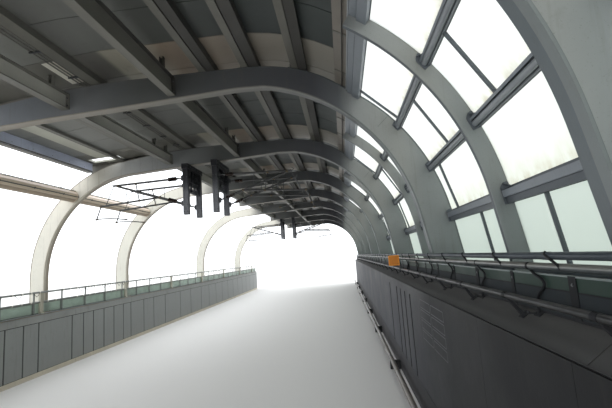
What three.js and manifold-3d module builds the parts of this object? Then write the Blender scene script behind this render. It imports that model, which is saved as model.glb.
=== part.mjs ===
// One section of an arched railway canopy, half roofed and half glazed, standing on its
// two parapet walls.  Millimetres, +Z up, +Y along the track, origin at the middle of the
// footprint at floor level.
import * as THREE from 'three';
import { mergeVertices } from 'three/addons/utils/BufferGeometryUtils.js';
import Module from 'manifold-3d';

const wasm = await Module();
wasm.setup();

// ---------------------------------------------------------------- driving dimensions
const GAP = 0.4;                 // assembly gap between touching pieces
const PITCH = 4200;              // main rib to main rib
const BAYS = 9;
const LENGTH = PITCH * BAYS;     // 37.8 m
const Y0 = -LENGTH / 2;
const FIRST_MID_RIB = Y0 + PITCH / 4 - 45;    // slim glazing ribs, right side only
const FIRST_MAIN_RIB = Y0 + PITCH * 3 / 4;    // deep arched ribs

// arch cross-section: the two haunches are arcs, the crown falls a little to the left; on the
// right the arcs end LEAN degrees up and run on in straight, leaning lines down to the ledge
const HAUNCH_X = 2170, HAUNCH_Z = 2650;       // centre of the right outer arc
const R_OUT = 3190;                           // its radius, and that of the left outer arc
const LEAN = 9.25, LEAN_IN = 10.5;            // where the outer and the inner arc turn straight
const RIGHT_IN = { x: 1970, z: 2690, r: 2904 };            // right inner arc, to 80 degrees
const LEFT = { x: -2060, z: 2560, rOut: R_OUT, rIn: 2770 }; // both left arcs
// crown edges between the arcs, right to left, as [x, z]
const CROWN_OUT = [[3660, 5500], [3410, 5650], [3080, 5785], [2740, 5870], [2400, 5912], [2000, 5925],
  [0, 5925], [-700, 5905], [-1450, 5855], [-2060, 5778]];
const CROWN_IN = [[2000, 5560], [1400, 5525], [0, 5445], [-1400, 5375]];
const RIB_W = 180;                            // main rib width along the track
const MID_RIB_DEPTH = 190, MID_RIB_W = 70;
const COPING = { foot: 2050, x: 4880, top: 2200 };         // right wall: sloped coping, then the ledge
const RIGHT_LEDGE_Z = COPING.top, LEFT_LEDGE_Z = 1620;

// parapet walls
const WALL_IN = 4680, WALL_STEM = 5130, WALL_OUT = 5550;
const CAP_H = 200, CAP_SLOPE = 200;

// roof
const ROOF_LEFT_X = -3560, ROOF_RIGHT_A = 56; // left edge, and right edge as a haunch angle
const SHEET_T = 50, PURLIN_D = 150;
// from the far face of this rib on, the roof reaches left only to x, and the left arches stand free
const STEP_IN = { rib: 2, x: -1350, edge: 90 };
// underside of the roof sheet, left to right, as [x, z]
const ROOF = [[ROOF_LEFT_X, 5735], [-2400, 5800], [-1450, 5935], [-700, 6010], [0, 6065], [2000, 6085],
  [2400, 6070], [2740, 6025], [3080, 5945], [3410, 5815], [3660, 5680]];
const EAVES_SLOT = { x: [-3300, -2420], from: 450, to: 110 };  // light slot before each left leg

// main ribs whose left haunch runs down to the wall; the others stop at the roof's left edge
const LEFT_LEGS = [true, true, true, true, false, true, false, true, false];

// ---------------------------------------------------------------- helpers
const rad = (d) => d * Math.PI / 180;
const box = (x0, x1, y0, y1, z0, z1) => new THREE.BoxGeometry(x1 - x0, y1 - y0, z1 - z0)
  .translate((x0 + x1) / 2, (y0 + y1) / 2, (z0 + z1) / 2);

// a closed outline of [x, z] pairs, extruded along the track from y0 to y1
function extrudeXZ(outline, y0, y1) {
  const shape = new THREE.Shape(outline.map(([x, z]) => new THREE.Vector2(x, z)));
  const g = new THREE.ExtrudeGeometry(shape, { depth: y1 - y0, bevelEnabled: false, steps: 1 });
  return g.rotateX(Math.PI / 2).translate(0, y1, 0);
}
// a closed outline of [y, z] pairs, extruded across the track from x0 to x1
function extrudeYZ(outline, x0, x1) {
  const shape = new THREE.Shape(outline.map(([y, z]) => new THREE.Vector2(y, z)));
  const g = new THREE.ExtrudeGeometry(shape, { depth: x1 - x0, bevelEnabled: false, steps: 1 });
  const m = new THREE.Matrix4().set(0, 0, 1, x0, 1, 0, 0, 0, 0, 1, 0, 0, 0, 0, 0, 1);
  return g.applyMatrix4(m);
}
function tube(p, q, r, sides = 10) {
  const a = new THREE.Vector3(...p), b = new THREE.Vector3(...q);
  const d = b.clone().sub(a), len = d.length();
  const g = new THREE.CylinderGeometry(r, r, len, sides).rotateY(Math.PI / sides);
  const quat = new THREE.Quaternion().setFromUnitVectors(new THREE.Vector3(0, 1, 0), d.normalize());
  return g.applyQuaternion(quat).translate((p[0] + q[0]) / 2, (p[1] + q[1]) / 2, (p[2] + q[2]) / 2);
}
function solid(geometry) {
  const g = geometry.clone();
  g.deleteAttribute('normal');
  g.deleteAttribute('uv');
  const m = mergeVertices(g, 0.01);
  return new wasm.Manifold(new wasm.Mesh({
    numProp: 3,
    vertProperties: new Float32Array(m.attributes.position.array),
    triVerts: new Uint32Array(m.index.array),
  }));
}
function geometryOf(manifold) {
  const m = manifold.getMesh();
  const g = new THREE.BufferGeometry();
  g.setAttribute('position', new THREE.BufferAttribute(new Float32Array(m.vertProperties), 3));
  g.setIndex(new THREE.BufferAttribute(new Uint32Array(m.triVerts), 1));
  g.computeVertexNormals();
  return g;
}
const join = (parts) => parts.map((p) => (p.isBufferGeometry ? solid(p) : p)).reduce((a, b) => a.add(b));

// a point at a given angle and radius of the right haunch; the arc is drawn as chords between
// LEAN and the multiples of STEP above it; below LEAN a degree goes on as the same length along
// the straight, leaning line
const STEP = 6;
const CORNERS = [LEAN, ...Array.from({ length: 14 }, (_, i) => 12 + i * STEP)];
function haunch(deg, r) {
  if (deg <= LEAN) {
    const s = rad(LEAN - deg) * R_OUT;
    return [HAUNCH_X + r * Math.cos(rad(LEAN)) + s * Math.sin(rad(LEAN)), HAUNCH_Z + r * Math.sin(rad(LEAN)) - s * Math.cos(rad(LEAN))];
  }
  const i = CORNERS.findIndex((c) => c >= deg - 1e-9);
  const mid = (CORNERS[i - 1] + CORNERS[i]) / 2, span = (CORNERS[i] - CORNERS[i - 1]) / 2;
  const rr = r * Math.cos(rad(span)) / Math.cos(rad(deg - mid));
  return [HAUNCH_X + rr * Math.cos(rad(deg)), HAUNCH_Z + rr * Math.sin(rad(deg))];
}
function arc(d0, d1, r) {
  const lo = Math.min(d0, d1), hi = Math.max(d0, d1);
  const degs = [lo, ...CORNERS.filter((c) => c > lo + 0.05 && c < hi - 0.05), hi];
  if (d0 > d1) degs.reverse();
  return degs.map((d) => haunch(d, r));
}
// where the leaning line of an arc meets a height: centre, radius and angle of the arc
const leanAt = (cx, cz, r, deg, z) => [cx + r * Math.cos(rad(deg)) + (cz + r * Math.sin(rad(deg)) - z) * Math.tan(rad(deg)), z];
// an arc about any centre, side = 1 to the right or -1 to the left, in chords of STEP degrees
function arcAt(c, r, d0, d1, side) {
  const steps = Math.max(1, Math.round(Math.abs(d1 - d0) / STEP));
  return Array.from({ length: steps + 1 }, (_, i) => {
    const a = rad(d0 + (d1 - d0) * i / steps);
    return [c.x + side * r * Math.cos(a), c.z + r * Math.sin(a)];
  });
}
// height at x of a line of [x, z] points
function heightAt(line, x) {
  const p = line[0][0] < line[1][0] ? line : line.slice().reverse();
  for (let i = 1; i < p.length; i++) {
    if (x <= p[i][0] || i === p.length - 1) {
      return p[i - 1][1] + (p[i][1] - p[i - 1][1]) * (x - p[i - 1][0]) / (p[i][0] - p[i - 1][0]);
    }
  }
  return 0;
}

// ---------------------------------------------------------------- materials
const paint = (name, color, roughness = 0.55, metalness = 0.2, extra = {}) =>
  new THREE.MeshStandardMaterial({ name, color, roughness, metalness, ...extra });
const mat = {
  ribGrey: paint('rib_grey', 0x747972),
  ribCream: paint('rib_cream', 0xc6c2b2),
  purlin: paint('purlin_blue_grey', 0x53595f),
  roof: paint('roof_sheet', 0x4d4d49, 0.6, 0.3),
  eaves: paint('eaves_blue_grey', 0x5f666d),
  glass: paint('milky_glass', 0xdfe8e2, 0.25, 0, { transparent: true, opacity: 0.6 }),
  wallDark: paint('wall_dark_panel', 0x3e4042, 0.8, 0.05),
  wallGrey: paint('wall_grey_panel', 0x707473, 0.8, 0.05),
  rail: paint('rail_steel', 0x484c50, 0.45, 0.6),
  green: paint('screen_green', 0x3d5445, 0.35, 0),
  teal: paint('screen_teal', 0x647a74, 0.35, 0),
  post: paint('post_dark', 0x2f3236, 0.5, 0.5),
  arm: paint('arm_galvanised', 0x3a3d41, 0.45, 0.7),
  orange: paint('plate_orange', 0xc07a20, 0.5, 0.1),
  pipe: paint('pipe_grey', 0x8a8c8a, 0.5, 0.3),
};

const canopy = new THREE.Group();
canopy.name = 'canopy_section';
function add(name, geometry, material, pos = [0, 0, 0], parent = canopy) {
  const mesh = new THREE.Mesh(geometry.isBufferGeometry ? geometry : geometryOf(geometry), material);
  mesh.name = name;
  mesh.position.set(...pos);
  parent.add(mesh);
  return mesh;
}

// ---------------------------------------------------------------- parapet walls
const wall = (side, top, inner) => extrudeXZ([
  [WALL_IN, 0], [WALL_STEM, 0], [WALL_STEM, top - CAP_H - CAP_SLOPE],
  [WALL_OUT, top - CAP_H], [WALL_OUT, top], ...inner,
].map(([x, z]) => [side * x, z]), Y0, -Y0);
add('right_parapet', wall(1, RIGHT_LEDGE_Z, [[COPING.x, COPING.top], [WALL_IN, COPING.foot]]), mat.wallDark);
add('left_parapet', wall(-1, LEFT_LEDGE_Z, [[WALL_IN, LEFT_LEDGE_Z]]), mat.wallGrey);
const copingZ = (x) => COPING.foot + (COPING.top - COPING.foot) * (x - WALL_IN) / (COPING.x - WALL_IN) + GAP * 1.5;

// ---------------------------------------------------------------- main ribs
const EAVES_IN = -3400;   // inner face of the left eaves beam
function ribOutline() {
  const foot = RIGHT_LEDGE_Z + GAP, footL = LEFT_LEDGE_Z + GAP;
  const outer = [leanAt(HAUNCH_X, HAUNCH_Z, R_OUT, LEAN, foot), ...arc(LEAN, 57.5, R_OUT), ...CROWN_OUT];
  const inner = [leanAt(RIGHT_IN.x, RIGHT_IN.z, RIGHT_IN.r, LEAN_IN, foot), ...arcAt(RIGHT_IN, RIGHT_IN.r, LEAN_IN, 80, 1), ...CROWN_IN];
  outer.push(...arcAt(LEFT, LEFT.rOut, 80, 0, -1), [LEFT.x - LEFT.rOut, footL]);
  inner.push(...arcAt(LEFT, LEFT.rIn, 90, 0, -1), [LEFT.x - LEFT.rIn, footL]);
  return [...outer, ...inner.reverse()];
}
const ribWithLeg = extrudeXZ(ribOutline(), -RIB_W / 2, RIB_W / 2);
const ribNoLeg = solid(ribWithLeg).subtract(solid(box(-7000, STEP_IN.x, -RIB_W, RIB_W, 0, 7000)));
const ribY = LEFT_LEGS.map((_, k) => FIRST_MAIN_RIB + k * PITCH);
LEFT_LEGS.forEach((leg, k) => add(`main_rib_${k}`, leg ? ribWithLeg : ribNoLeg, mat.ribGrey, [0, ribY[k], 0]));

// ---------------------------------------------------------------- right glazing frames
// longitudinal purlins: name, lower and upper haunch angle
const PURLINS = [['sill', -7, -4.56], ['a', 7.25, 10.3], ['b', 22.5, 25.05], ['c', 37.9, 40.25], ['top', 53.2, 57.5]];
const G_IN = R_OUT - MID_RIB_DEPTH, PURLIN_IN = R_OUT - 100;
function glazingFrame(yMid, y0, y1) {
  const foot = (r) => leanAt(HAUNCH_X, HAUNCH_Z, r, LEAN, RIGHT_LEDGE_Z + GAP);
  const rib = extrudeXZ([foot(R_OUT), ...arc(LEAN, 57.5, R_OUT), ...arc(57.5, LEAN, G_IN), foot(G_IN)],
    yMid - MID_RIB_W / 2, yMid + MID_RIB_W / 2);
  const bars = PURLINS.map(([, a, b]) => extrudeXZ([
    haunch(a, PURLIN_IN), haunch(a, R_OUT), haunch(b, R_OUT), haunch(b, PURLIN_IN)], y0, y1));
  return join([rib, ...bars]);
}
const half = RIB_W / 2 + GAP;
const bayEdges = (k) => [k === 0 ? Y0 : ribY[k - 1] + half, ribY[k] - half];
for (let k = 0; k < BAYS; k++) {
  const [a, b] = bayEdges(k);
  add(`glazing_frame_${k}`, glazingFrame(FIRST_MID_RIB + k * PITCH, a, b), mat.purlin);
}

// milky glass sheets, outside the ribs, jointed on the main ribs' centre lines
const GLASS_T = 14;
const GLASS_IN = R_OUT + GAP, GLASS_LOW = -6.63;
const sheet = (y0, y1) => extrudeXZ([
  haunch(GLASS_LOW, GLASS_IN), ...arc(LEAN, 55.5, GLASS_IN), ...arc(55.5, LEAN, GLASS_IN + GLASS_T), haunch(GLASS_LOW, GLASS_IN + GLASS_T)], y0, y1);
for (let k = 0; k < BAYS; k++) {
  const a = k === 0 ? Y0 : ribY[k - 1] + 3, b = k === BAYS - 1 ? -Y0 : ribY[k] - 3;
  add(`glass_sheet_${k}`, sheet(a, b), mat.glass);
}

// ---------------------------------------------------------------- roof
const PT = R_OUT + PURLIN_D;
const edgeR = haunch(ROOF_RIGHT_A, PT);       // right edge of the sheet
const underside = [...ROOF, edgeR];
const under = (x) => heightAt(underside, x);
// purlins on the ribs: left and right face
const ROOF_PURLINS = [
  [-2560, -2440], [-1805, -1695], [-535, -425], [1370, 1640], [2110, 2400], [2960, 3220],
];
const DEEP = [[-1070, 150, 5500, 5780], [870, 130, 5545, 5870]];   // centre x, width, bottom and top height
const ribOuter = [...arc(12, 57.5, R_OUT), ...CROWN_OUT, ...arcAt(LEFT, LEFT.rOut, 80, 3, -1)];
const ribTop = (x) => heightAt(ribOuter.filter(([, z]) => z > 4600), x);
const roofOutline = [
  ...underside.map(([x, z]) => [x, z]),
  ...underside.slice().reverse().map(([x, z]) => [x, z + SHEET_T]),
];
const ribKeepOut = (k) => {
  const left = [...arcAt(LEFT, LEFT.rOut, 80, 3, -1), [LEFT.x - LEFT.rOut, LEFT.z]];
  return solid(extrudeXZ([[HAUNCH_X + R_OUT, HAUNCH_Z], ...[...arc(12, 57.5, R_OUT), ...CROWN_OUT, ...left].map(([x, z]) => [x, z + GAP])],
    ribY[k] - half, ribY[k] + half));
};
const STEP_Y = ribY[STEP_IN.rib] + RIB_W / 2;
const ROOF_PARTS = [['front', Y0, ribY[2] - half - 600], ['middle', ribY[2] - half - 590, ribY[5] + half + 600], ['rear', ribY[5] + half + 610, -Y0]];
for (const [name, y0, y1] of ROOF_PARTS) {
  const pieces = [extrudeXZ(roofOutline, y0, y1)];
  for (const [a, b] of ROOF_PURLINS) {
    pieces.push(extrudeXZ([[a, ribTop(a) + GAP], [b, ribTop(b) + GAP], [b, under(b) + 10], [a, under(a) + 10]], y0, y1));
  }
  // ties between the ribs, each length hung from the sheet on short hangers
  const inside = ribY.filter((y) => y > y0 && y < y1);
  const starts = [y0, ...inside.map((y) => y + half)], ends = [...inside.map((y) => y - half), y1];
  for (const [x, w, z, top] of DEEP) {
    pieces.push(box(x - w / 2, x + w / 2, y0, y1, z, top));
    starts.forEach((a, i) => {
      const b = ends[i], at = b - a > 1400 ? [a + 350, b - 350] : [(a + b) / 2];
      for (const y of at) pieces.push(box(x - 35, x + 35, y - 35, y + 35, top - 10, under(x) + 10));
    });
  }
  // edge purlin of the narrow roof
  if (y1 > STEP_Y) {
    const [a, b] = [STEP_IN.x, STEP_IN.x + STEP_IN.edge];
    pieces.push(extrudeXZ([[a, ribTop(a) + GAP], [b, ribTop(b) + GAP], [b, under(b) + 10], [a, under(a) + 10]], Math.max(y0, STEP_Y), y1));
  }
  // gutter box along the right edge, over the top glazing purlin
  const g0 = R_OUT + GLASS_T + 3, g1 = PT + 40;
  pieces.push(extrudeXZ([haunch(56.2, g0), haunch(56.2, g1), haunch(62, g1), haunch(62, g0)], y0, y1));
  let deck = join(pieces);
  ribY.forEach((y, k) => {
    if (y < y0 - 500 || y > y1 + 500) return;
    deck = deck.subtract(ribKeepOut(k));
    if (k <= STEP_IN.rib) deck = deck.subtract(solid(box(...EAVES_SLOT.x, y - EAVES_SLOT.from, y - EAVES_SLOT.to, 5500, 6300)));
  });
  if (y1 > STEP_Y) deck = deck.subtract(solid(box(-4000, STEP_IN.x, STEP_Y, y1 + 100, 5000, 7000)));
  add(`roof_deck_${name}`, deck, mat.roof);
}

// left eaves beam of the wide roof: a fascia that rests on the legs, up to the rib where the roof steps in
const EAVES_BOT = 5470;
const eavesX = EAVES_IN - 150;
let eavesBeam = solid(box(eavesX, EAVES_IN, Y0, ribY[STEP_IN.rib] - half, EAVES_BOT, under(eavesX) - GAP));
for (let k = 0; k < STEP_IN.rib; k++) {
  eavesBeam = eavesBeam.subtract(solid(extrudeXZ([
    ...arcAt(LEFT, LEFT.rIn, 30, 90, -1), ...arcAt(LEFT, LEFT.rOut + 3, 90, 30, -1)], ribY[k] - half, ribY[k] + half)));
}
add('left_eaves_beam', eavesBeam, mat.eaves);

// ---------------------------------------------------------------- left tie tube, rib 0 to rib 3
const TIE = { deg: 49.5, r: 2965, radius: 160 };
for (let k = 0; k < 4; k++) {
  const [x, z] = arcAt(LEFT, TIE.r, TIE.deg, TIE.deg, -1)[0];
  const y0 = k === 0 ? Y0 : ribY[k - 1] + half, y1 = ribY[k] - half;
  add(`left_tie_tube_${k}`, tube([x, y0, z], [x, y1, z], TIE.radius, 14), mat.ribCream);
}

// ---------------------------------------------------------------- screens on the two ledges
add('right_screen', extrudeXZ([[4850, copingZ(4850)], [4868, copingZ(4868)], [4868, 2440], [4850, 2440]], Y0, -Y0), mat.green);
add('left_screen', box(-4805, -4785, Y0, -Y0, LEFT_LEDGE_Z + GAP, 1905), mat.teal);

// ---------------------------------------------------------------- handrails
const POST_PITCH = 1050;
const posts = Array.from({ length: 36 }, (_, i) => Y0 + POST_PITCH / 2 + i * POST_PITCH);
{
  const parts = [tube([4757, Y0, 2270], [4757, -Y0, 2270], 24, 6)];
  // straps lean back along the rail to their feet on the sloped coping
  for (const y of posts.slice(0, -1)) parts.push(tube([4757, y + 515, 2266], [4803, y + 385, 2168], 15, 5));
  add('right_lower_rail', join(parts), mat.rail);
}
{
  const parts = [tube([4836, Y0, 2555], [4836, -Y0, 2555], 24, 6), tube([4838, Y0, 2486], [4838, -Y0, 2486], 26, 8)];
  for (const y of posts) parts.push(extrudeXZ(
    [[4832, 2555], [4832, copingZ(4832)], [4846, copingZ(4846)], [4846, 2555]], y + 250, y + 262));
  add('right_upper_rail', join(parts), mat.rail);
}
{
  const parts = [tube([-4745, Y0, 2190], [-4745, -Y0, 2190], 27, 6), tube([-4745, Y0, 1930], [-4745, -Y0, 1930], 22, 6)];
  for (const y of posts) parts.push(box(-4752, -4738, y - 25, y + 25, LEFT_LEDGE_Z + GAP, 2185));
  add('left_railing', join(parts), mat.rail);
}

// blank plate on a stem beside the lower handrail
const PLATE_Y = -9550;
add('blank_plate', extrudeXZ([[4505, 2350], [4704, 2350], [4704, 2262], [4732, 2262], [4732, 2280], [4722, 2280], [4722, 2560], [4505, 2560]],
  PLATE_Y - 6, PLATE_Y + 6), mat.orange);

// service pipe along the foot of the right wall, on saddles
{
  const parts = [tube([4480, Y0, 250], [4480, -Y0, 250], 50, 12)];
  for (let k = 0; k < 9; k++) {
    const y = Y0 + 2100 + k * PITCH;
    parts.push(box(4450, WALL_IN - GAP, y - 40, y + 40, 0, 215));
  }
  add('wall_foot_pipe', join(parts), mat.pipe);
}

// ---------------------------------------------------------------- drop frames and swivelling arms
// each frame hangs under a main rib: two posts in line along the track, a head beam and a
// web plate between them; each post carries one arm that turns about its two eyes
const DROP_RIBS = [2, 6];
const DROP = { x: [-540, 290], dy: [-300, 650], w: 140, bot: 4010, web: 4640, head: 5280, top: [5413, 5456] };
const ARM = { off: 115, top: 5030, low: 4330, side: [-1, 1] };
// bars of an arm, as distance out from the hinge line and height, both ends, radius, sides
const ARM_BARS = [
  [0, 5030, 1980, 4975, 25, 6],        // top tube
  [0, 4330, 1850, 4950, 25, 6],        // strut
  [640, 4545, 2380, 4420, 22, 6],      // registration tube
  [1230, 4495, 1330, 4990, 15, 4],     // brace
  [2340, 4430, 2480, 4045, 18, 6],     // drop bracket
  [2470, 4075, 1620, 4010, 15, 6],     // steady arm
  [120, 5026, 430, 5018, 52, 8],       // upper insulator
  [130, 4374, 430, 4474, 52, 8],       // lower insulator
];
const EYE_R = 30, EYE_H = 42, LUG_T = 12, LUG_GAP = 6;
let n = 0;
DROP_RIBS.forEach((k, set) => {
  DROP.x.forEach((x, col) => {
    const yr = ribY[k], h = DROP.w / 2, s = ARM.side[col];
    const y0 = yr + DROP.dy[0], y1 = yr + DROP.dy[1];
    const parts = [box(x - 85, x + 85, y0 - 105, y1 + 105, DROP.head, DROP.top[col])];
    for (const y of [y0, y1]) {
      parts.push(box(x - h, x + h, y - h, y + h, DROP.bot, DROP.head + 20));
      for (const z of [ARM.top, ARM.low]) for (const lug of [-EYE_H - LUG_GAP - LUG_T, EYE_H + LUG_GAP]) {
        const a = x + s * (h - 5), b = x + s * (ARM.off + EYE_R + 5);
        parts.push(box(Math.min(a, b), Math.max(a, b), y - 35, y + 35, z + lug, z + lug + LUG_T));
      }
    }
    add(`drop_frame_${set * 2 + col + 1}`, join(parts), mat.post);
    add(`drop_web_${set * 2 + col + 1}`, box(x - 12, x + 12, y0 + h + GAP, y1 - h - GAP, DROP.web, DROP.head - GAP), mat.post);
    for (const y of [y0, y1]) {
      const px = x + s * ARM.off;
      const arm = join([
        ...[ARM.top, ARM.low].map((z) => tube([px, y, z - EYE_H], [px, y, z + EYE_H], EYE_R, 8)),
        ...ARM_BARS.map(([d0, z0, d1, z1, r, sides]) => tube([px + s * d0, y, z0], [px + s * d1, y, z1], r, sides)),
      ]);
      n += 1;
      add(`swivel_arm_${n}`, arm, mat.arm);
    }
  });
});

export default canopy;
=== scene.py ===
import math
import random

import bmesh
import bpy
import numpy as np
from mathutils import Matrix, Vector


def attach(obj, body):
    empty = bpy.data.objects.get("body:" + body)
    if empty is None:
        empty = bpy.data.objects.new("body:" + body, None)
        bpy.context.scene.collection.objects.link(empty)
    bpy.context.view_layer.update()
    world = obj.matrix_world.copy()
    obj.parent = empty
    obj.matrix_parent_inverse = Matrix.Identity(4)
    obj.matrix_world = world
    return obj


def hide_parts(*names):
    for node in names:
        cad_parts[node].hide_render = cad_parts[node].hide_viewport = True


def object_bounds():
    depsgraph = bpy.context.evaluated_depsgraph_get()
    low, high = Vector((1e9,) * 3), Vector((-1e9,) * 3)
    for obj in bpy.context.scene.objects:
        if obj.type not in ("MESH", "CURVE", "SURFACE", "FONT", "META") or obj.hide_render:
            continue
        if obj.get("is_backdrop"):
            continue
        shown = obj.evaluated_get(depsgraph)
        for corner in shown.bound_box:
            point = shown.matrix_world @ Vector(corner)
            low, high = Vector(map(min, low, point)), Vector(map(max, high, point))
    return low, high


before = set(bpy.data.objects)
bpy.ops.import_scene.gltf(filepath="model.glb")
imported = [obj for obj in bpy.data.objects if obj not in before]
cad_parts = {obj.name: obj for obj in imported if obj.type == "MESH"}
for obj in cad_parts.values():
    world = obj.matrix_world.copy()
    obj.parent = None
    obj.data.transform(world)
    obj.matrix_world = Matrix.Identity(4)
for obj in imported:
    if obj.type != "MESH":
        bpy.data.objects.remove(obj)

CAD_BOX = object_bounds()
random.seed(11)

# ------------------------------------------------------------------ camera
F_PX, W_PX = 387.9, 612.0
YAW, PITCH_UP, ROLL = math.radians(4.879), math.radians(7.76), math.radians(3.961)
EYE = Vector((3.58, -17.78, 2.65))
fwd0 = Vector((-math.sin(YAW), math.cos(YAW), 0))
right0 = Vector((math.cos(YAW), math.sin(YAW), 0))
fwd = fwd0 * math.cos(PITCH_UP) + Vector((0, 0, 1)) * math.sin(PITCH_UP)
up0 = -fwd0 * math.sin(PITCH_UP) + Vector((0, 0, 1)) * math.cos(PITCH_UP)
right = right0 * math.cos(ROLL) - up0 * math.sin(ROLL)
up = right0 * math.sin(ROLL) + up0 * math.cos(ROLL)
cam_data = bpy.data.cameras.new("camera")
cam = bpy.data.objects.new("camera", cam_data)
bpy.context.scene.collection.objects.link(cam)
cam_data.sensor_fit = "HORIZONTAL"
cam_data.sensor_width = 36.0
cam_data.lens = 36.0 * F_PX / W_PX
cam_data.clip_start, cam_data.clip_end = 0.05, 500
m = Matrix.Identity(4)
for i in range(3):
    m[i][0], m[i][1], m[i][2], m[i][3] = right[i], up[i], -fwd[i], EYE[i]
cam.matrix_world = m
bpy.context.scene.camera = cam

# ------------------------------------------------------------------ sizes, the same as the frame's
PITCH, BAYS = 4.2, 9
Y0, Y1 = -18.9, 18.9
RIB_Y = [Y0 + PITCH * 0.75 + k * PITCH for k in range(BAYS)]
SLIM_Y = [Y0 + PITCH / 4 - 0.045 + k * PITCH for k in range(BAYS)]
LEGS = [True, True, True, True, False, True, False, True, False]
HC = (2.17, 2.65)
R_OUT = 3.19
RIGHT_IN = (1.97, 2.69, 2.904)
LEFT = (-2.06, 2.56, 3.19, 2.77)
CROWN_OUT = [(3.66, 5.5), (3.41, 5.65), (3.08, 5.785), (2.74, 5.87), (2.4, 5.912), (2.0, 5.925),
             (0, 5.925), (-0.7, 5.905), (-1.45, 5.855), (-2.06, 5.778)]
CROWN_IN = [(2.0, 5.56), (1.4, 5.525), (0, 5.445), (-1.4, 5.375)]
RIB_HALF = 0.09
ROOF = [(-3.56, 5.735), (-2.4, 5.8), (-1.45, 5.935), (-0.7, 6.01), (0, 6.065), (2.0, 6.085),
        (2.4, 6.07), (2.74, 6.025), (3.08, 5.945), (3.41, 5.815), (3.66, 5.68), (4.038, 5.419)]
# below LEAN degrees the frames lean on down in a straight line, where a degree stands for the same length as on the arc
LEAN, LEAN_IN = 9.25, 10.5
# from the far face of rib 2 on, the roof reaches left only to STEP_X, and the left arches stand free
STEP_X, STEP_Y = -1.35, RIB_Y[2] + 0.09
PURLINS = {"sill": (-7.0, -4.56), "a": (7.25, 10.3), "b": (22.5, 25.05), "c": (37.9, 40.25), "top": (53.2, 57.5)}
POSTS = [Y0 + 0.525 + 1.05 * i for i in range(36)]


def hp(deg, r):
    """A point of the right haunch, as (x, z)."""
    if deg < LEAN:
        a, run = math.radians(LEAN), math.radians(LEAN - deg) * R_OUT
        return (HC[0] + r * math.cos(a) + run * math.sin(a), HC[1] + r * math.sin(a) - run * math.cos(a))
    a = math.radians(deg)
    return (HC[0] + r * math.cos(a), HC[1] + r * math.sin(a))


def lean_at(cx, cz, r, deg, z):
    """Where the straight line below an arc meets a height."""
    a = math.radians(deg)
    return (cx + r * math.cos(a) + (cz + r * math.sin(a) - z) * math.tan(a), z)


def arc(cx, cz, r, d0, d1, side=1, step=2.0):
    n = max(2, int(round(abs(d1 - d0) / step)))
    return [(cx + side * r * math.cos(math.radians(d0 + (d1 - d0) * i / n)),
             cz + r * math.sin(math.radians(d0 + (d1 - d0) * i / n))) for i in range(n + 1)]


def line_at(line, x):
    p = sorted(line)
    return float(np.interp(x, [q[0] for q in p], [q[1] for q in p]))


def under(x):
    return line_at(ROOF, x)


def coping_z(x):
    return 2.05 + 0.15 * (x - 4.68) / 0.2


def resample(line, n):
    p = np.array(line, float)
    s = np.concatenate([[0], np.cumsum(np.linalg.norm(np.diff(p, axis=0), axis=1))])
    t = np.linspace(0, s[-1], n)
    return np.stack([np.interp(t, s, p[:, 0]), np.interp(t, s, p[:, 1])], 1)


def smooth_line(points, n=8):
    """A Catmull-Rom curve through the points."""
    p = [points[0]] + list(points) + [points[-1]]
    out = []
    for i in range(1, len(p) - 2):
        a, b, c, d = (np.array(q, float) for q in p[i - 1:i + 3])
        for j in range(n):
            t = j / n
            out.append(0.5 * ((2 * b) + (-a + c) * t + (2 * a - 5 * b + 4 * c - d) * t * t + (-a + 3 * b - 3 * c + d) * t ** 3))
    out.append(np.array(points[-1], float))
    return out


def normals2(p):
    """Left-hand normals of a line of (x, z) points."""
    t = np.gradient(p, axis=0)
    t /= np.linalg.norm(t, axis=1)[:, None]
    return np.stack([-t[:, 1], t[:, 0]], 1)


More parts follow.
